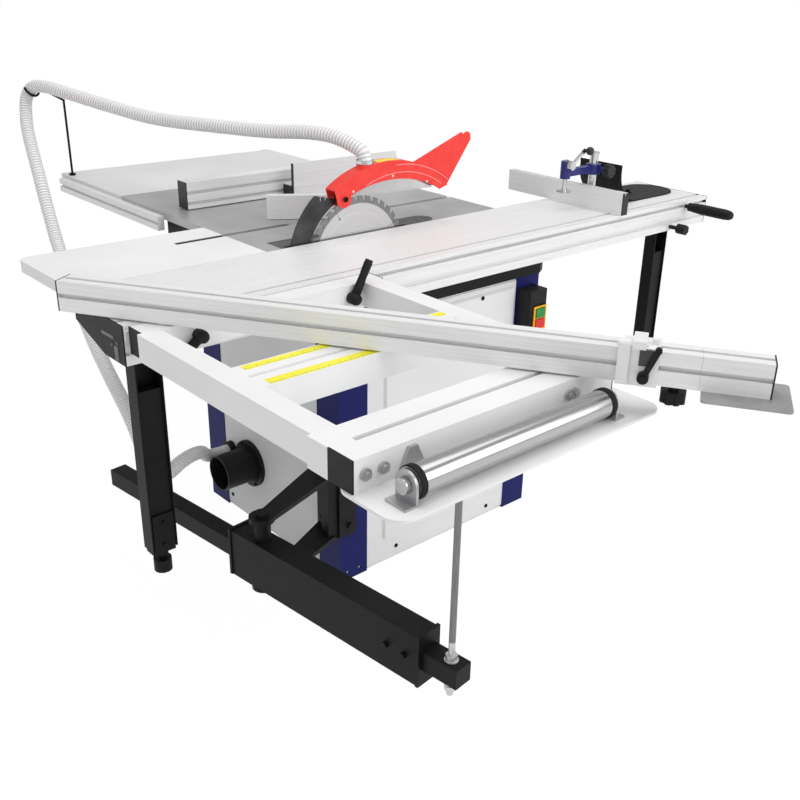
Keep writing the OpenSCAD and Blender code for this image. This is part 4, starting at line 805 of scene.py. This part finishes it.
def arc_strip(centre, radius, wide, thick, angles, side_y, steps=40):
    """A flat strip along an arc in a plane square to Y, from one angle to another in degrees."""
    bm = bmesh.new()
    rows = []
    for k in range(steps + 1):
        angle = math.radians(angles[0] + (angles[1] - angles[0]) * k / steps)
        way = Vector((math.cos(angle), 0, math.sin(angle)))
        corners = ((side_y, 0), (side_y + thick, 0), (side_y + thick, wide), (side_y, wide))
        rows.append([bm.verts.new(Vector((centre[0], y, centre[1])) + way * (radius + out))
                     for y, out in corners])
    for one, other in zip(rows, rows[1:]):
        for k in range(4):
            bm.faces.new((one[k], one[(k + 1) % 4], other[(k + 1) % 4], other[k]))
    bm.faces.new(rows[0])
    bm.faces.new(list(reversed(rows[-1])))
    return bm


# Edge lines, rivets, bolts and plain patch of the guard
# A pale line runs along the upper and lower edge of each side, with three white rivets and a
# black bolt. A plain yellow patch lies on the guard's top.
guard_half, line_proud = 0.020, 0.0004
guard_middle = (0.1227, 0.7071)
line_wide, line_thick = 0.0018, 0.0008
line_pink = moulded("pale_edge_line", (0.86, 0.30, 0.29), (0.93, 0.38, 0.37), (0.35, 0.45)).material
line_arcs = {"upper": (0.3010, (52, 92)), "lower": (0.2810, (56.5, 113))}
for side, side_y in (("near", -guard_half - line_proud), ("far", guard_half - line_proud)):
    for name, (radius, angles) in line_arcs.items():
        arc = arc_strip(guard_middle, radius, line_wide, line_thick, angles, side_y)
        line = new_piece(f"{side}_{name}_guard_line", arc, "rise_unit")
        dress(line_pink, line)
rivet_white = moulded("white_rivet", (0.76, 0.72, 0.72), (0.84, 0.80, 0.80), (0.35, 0.45)).material
rivet_polar = ((0.2755, 94.3), (0.2665, 67.7), (0.2925, 121.5))
rivet_spots = [(guard_middle[0] + radius * math.cos(math.radians(angle)),
                guard_middle[1] + radius * math.sin(math.radians(angle))) for radius, angle in rivet_polar]
for side, way in (("near", -1), ("far", 1)):
    repeated(f"{side}_guard_rivets", screw_head(0.0032, 0.0012, (0, way, 0)),
             [(x, way * guard_half, z) for x, z in rivet_spots], rivet_white, "rise_unit")
patch_middle, patch_radius, patch_arc = (0.092, 0.702), 0.3193, (83, 96)
patch_thick, patch_wide = 0.0006, 0.026
patch_strip = arc_strip(patch_middle, patch_radius, patch_thick, patch_wide, patch_arc, -patch_wide / 2)
label = new_piece("plain_yellow_patch", patch_strip, "rise_unit")
dress(moulded("yellow_patch", (0.86, 0.68, 0.02), (0.92, 0.75, 0.03), (0.3, 0.4)).material, label)
bolt_x, bolt_z, boss_proud = -0.059, 0.941, 0.005
for name, way in (("guard_bolt_head", -1), ("guard_bolt_far_head", 1)):
    bolt_at = (bolt_x, way * (guard_half + boss_proud), bolt_z)
    repeated(name, screw_head(0.0075, 0.004, (0, way, 0)), [bolt_at], black_paint,
             "rise_unit")

# Switch bezel and buttons
# A yellow plastic frame is clipped to the housing and holds the two moulded buttons. Green
# starts the saw and red stops it.
bezel_x, bezel_z = (0.360, 0.411), (0.574, 0.646)
button_x = (0.367, 0.404)
button_rows = ((0.5810, 0.6090), (0.6120, 0.6400))
bezel_y = (-0.3195, -0.3152)
bm = bmesh.new()
bars = [(bezel_x[0], button_x[0], *bezel_z), (button_x[1], bezel_x[1], *bezel_z),
        (*button_x, bezel_z[0], button_rows[0][0]), (*button_x, button_rows[0][1], button_rows[1][0]),
        (*button_x, button_rows[1][1], bezel_z[1])]
for x0, x1, z0, z1 in bars:
    middle = ((x0 + x1) / 2, sum(bezel_y) / 2, (z0 + z1) / 2)
    size = (x1 - x0, bezel_y[1] - bezel_y[0], z1 - z0, 1)
    bmesh.ops.create_cube(bm, size=1, matrix=Matrix.Translation(middle) @ Matrix.Diagonal(size))
bezel = new_piece("switch_bezel", bm, "base")
bezel_yellow = moulded("yellow_bezel_plastic", (0.82, 0.38, 0.01), (0.90, 0.45, 0.02), (0.35, 0.45))
dress(bezel_yellow.material, bezel)
green = moulded("green_button_plastic", (0.015, 0.20, 0.04), (0.02, 0.27, 0.055), (0.3, 0.4))
dress(green.material, "start_button")
red = moulded("red_button_plastic", (0.60, 0.02, 0.015), (0.72, 0.03, 0.02), (0.3, 0.4))
dress(red.material, "stop_button")

# Floor
# A plain white studio floor, not part of the saw. Camera, mirrors and clear plastic see it as
# white with a faint shadow, and it lights the saw as a matt pale floor does.
floor_half = 30
floor_bm = bmesh.new()
bmesh.ops.create_grid(floor_bm, x_segments=1, y_segments=1, size=floor_half)
floor_mesh = bpy.data.meshes.new("studio_floor")
floor_bm.to_mesh(floor_mesh)
floor_bm.free()
floor = bpy.data.objects.new("studio_floor", floor_mesh)
bpy.context.scene.collection.objects.link(floor)
sweep = bpy.data.materials.new("studio_sweep")
sweep.use_nodes = True
sweep_shader = sweep.node_tree.nodes["Principled BSDF"]
sweep_shader.inputs["Base Color"].default_value = (0.86, 0.86, 0.86, 1)
sweep_shader.inputs["Roughness"].default_value = 0.9
sweep_shader.inputs["Specular IOR Level"].default_value = 0.1
seen = sweep.node_tree.nodes.new("ShaderNodeLightPath")
white = sweep.node_tree.nodes.new("ShaderNodeEmission")
white_strength, white_share = 1.06, 0.90
white.inputs["Strength"].default_value = white_strength
share = sweep.node_tree.nodes.new("ShaderNodeMath")
share.operation = "MULTIPLY"
share.inputs[1].default_value = white_share
blend = sweep.node_tree.nodes.new("ShaderNodeMixShader")
sweep_out = sweep.node_tree.nodes["Material Output"]
any_eye = sweep.node_tree.nodes.new("ShaderNodeMath")
any_eye.operation = "MAXIMUM"
sweep.node_tree.links.new(seen.outputs["Is Camera Ray"], any_eye.inputs[0])
sweep.node_tree.links.new(seen.outputs["Is Glossy Ray"], any_eye.inputs[1])
all_eyes = sweep.node_tree.nodes.new("ShaderNodeMath")
all_eyes.operation = "MAXIMUM"
sweep.node_tree.links.new(any_eye.outputs["Value"], all_eyes.inputs[0])
sweep.node_tree.links.new(seen.outputs["Is Transmission Ray"], all_eyes.inputs[1])
sweep.node_tree.links.new(all_eyes.outputs["Value"], share.inputs[0])
sweep.node_tree.links.new(share.outputs["Value"], blend.inputs["Fac"])
sweep.node_tree.links.new(sweep_shader.outputs["BSDF"], blend.inputs[1])
sweep.node_tree.links.new(white.outputs["Emission"], blend.inputs[2])
sweep.node_tree.links.new(blend.outputs["Shader"], sweep_out.inputs["Surface"])
floor_mesh.materials.append(sweep)

# Background and lamps
# A white studio under large soft lamps from the carriage side, from above and from beside the
# camera, so that faces towards the rear stay in shade.
world = bpy.data.worlds.new("studio")
world.use_nodes = True
bpy.context.scene.world = world
sky_strength = 0.55
sky = world.node_tree.nodes["Background"]
sky.inputs["Color"].default_value = (1, 1, 1, 1)
sky.inputs["Strength"].default_value = sky_strength
bright = world.node_tree.nodes.new("ShaderNodeBackground")
bright.inputs["Color"].default_value = (1, 1, 1, 1)
bright.inputs["Strength"].default_value = 1.0
world_seen = world.node_tree.nodes.new("ShaderNodeLightPath")
world_blend = world.node_tree.nodes.new("ShaderNodeMixShader")
world_out = world.node_tree.nodes["World Output"]
world_eye = world.node_tree.nodes.new("ShaderNodeMath")
world_eye.operation = "MAXIMUM"
world.node_tree.links.new(world_seen.outputs["Is Camera Ray"], world_eye.inputs[0])
world.node_tree.links.new(world_seen.outputs["Is Transmission Ray"], world_eye.inputs[1])
world.node_tree.links.new(world_eye.outputs["Value"], world_blend.inputs["Fac"])
world.node_tree.links.new(sky.outputs["Background"], world_blend.inputs[1])
world.node_tree.links.new(bright.outputs["Background"], world_blend.inputs[2])
world.node_tree.links.new(world_blend.outputs["Shader"], world_out.inputs["Surface"])


def lamp(name, at, towards, size, power):
    """A square soft lamp at a place, turned to another."""
    data = bpy.data.lights.new(name, "AREA")
    data.size = size
    data.energy = power
    made = bpy.data.objects.new(name, data)
    bpy.context.scene.collection.objects.link(made)
    made.location = at
    made.rotation_euler = (Vector(towards) - Vector(at)).to_track_quat("-Z", "Y").to_euler()


lamp("carriage_side_lamp", at=(1.6, -4.2, 2.6), towards=(0.2, -0.3, 0.6), size=3.0, power=80)
lamp("ceiling_lamp", at=(0.3, -0.3, 4.2), towards=(0.2, 0.0, 0.5), size=3.6, power=68)
lamp("camera_side_lamp", at=(-3.6, -2.6, 2.4), towards=(0.0, -0.3, 0.6), size=3.0, power=22)
bpy.context.scene.view_settings.view_transform = "Standard"
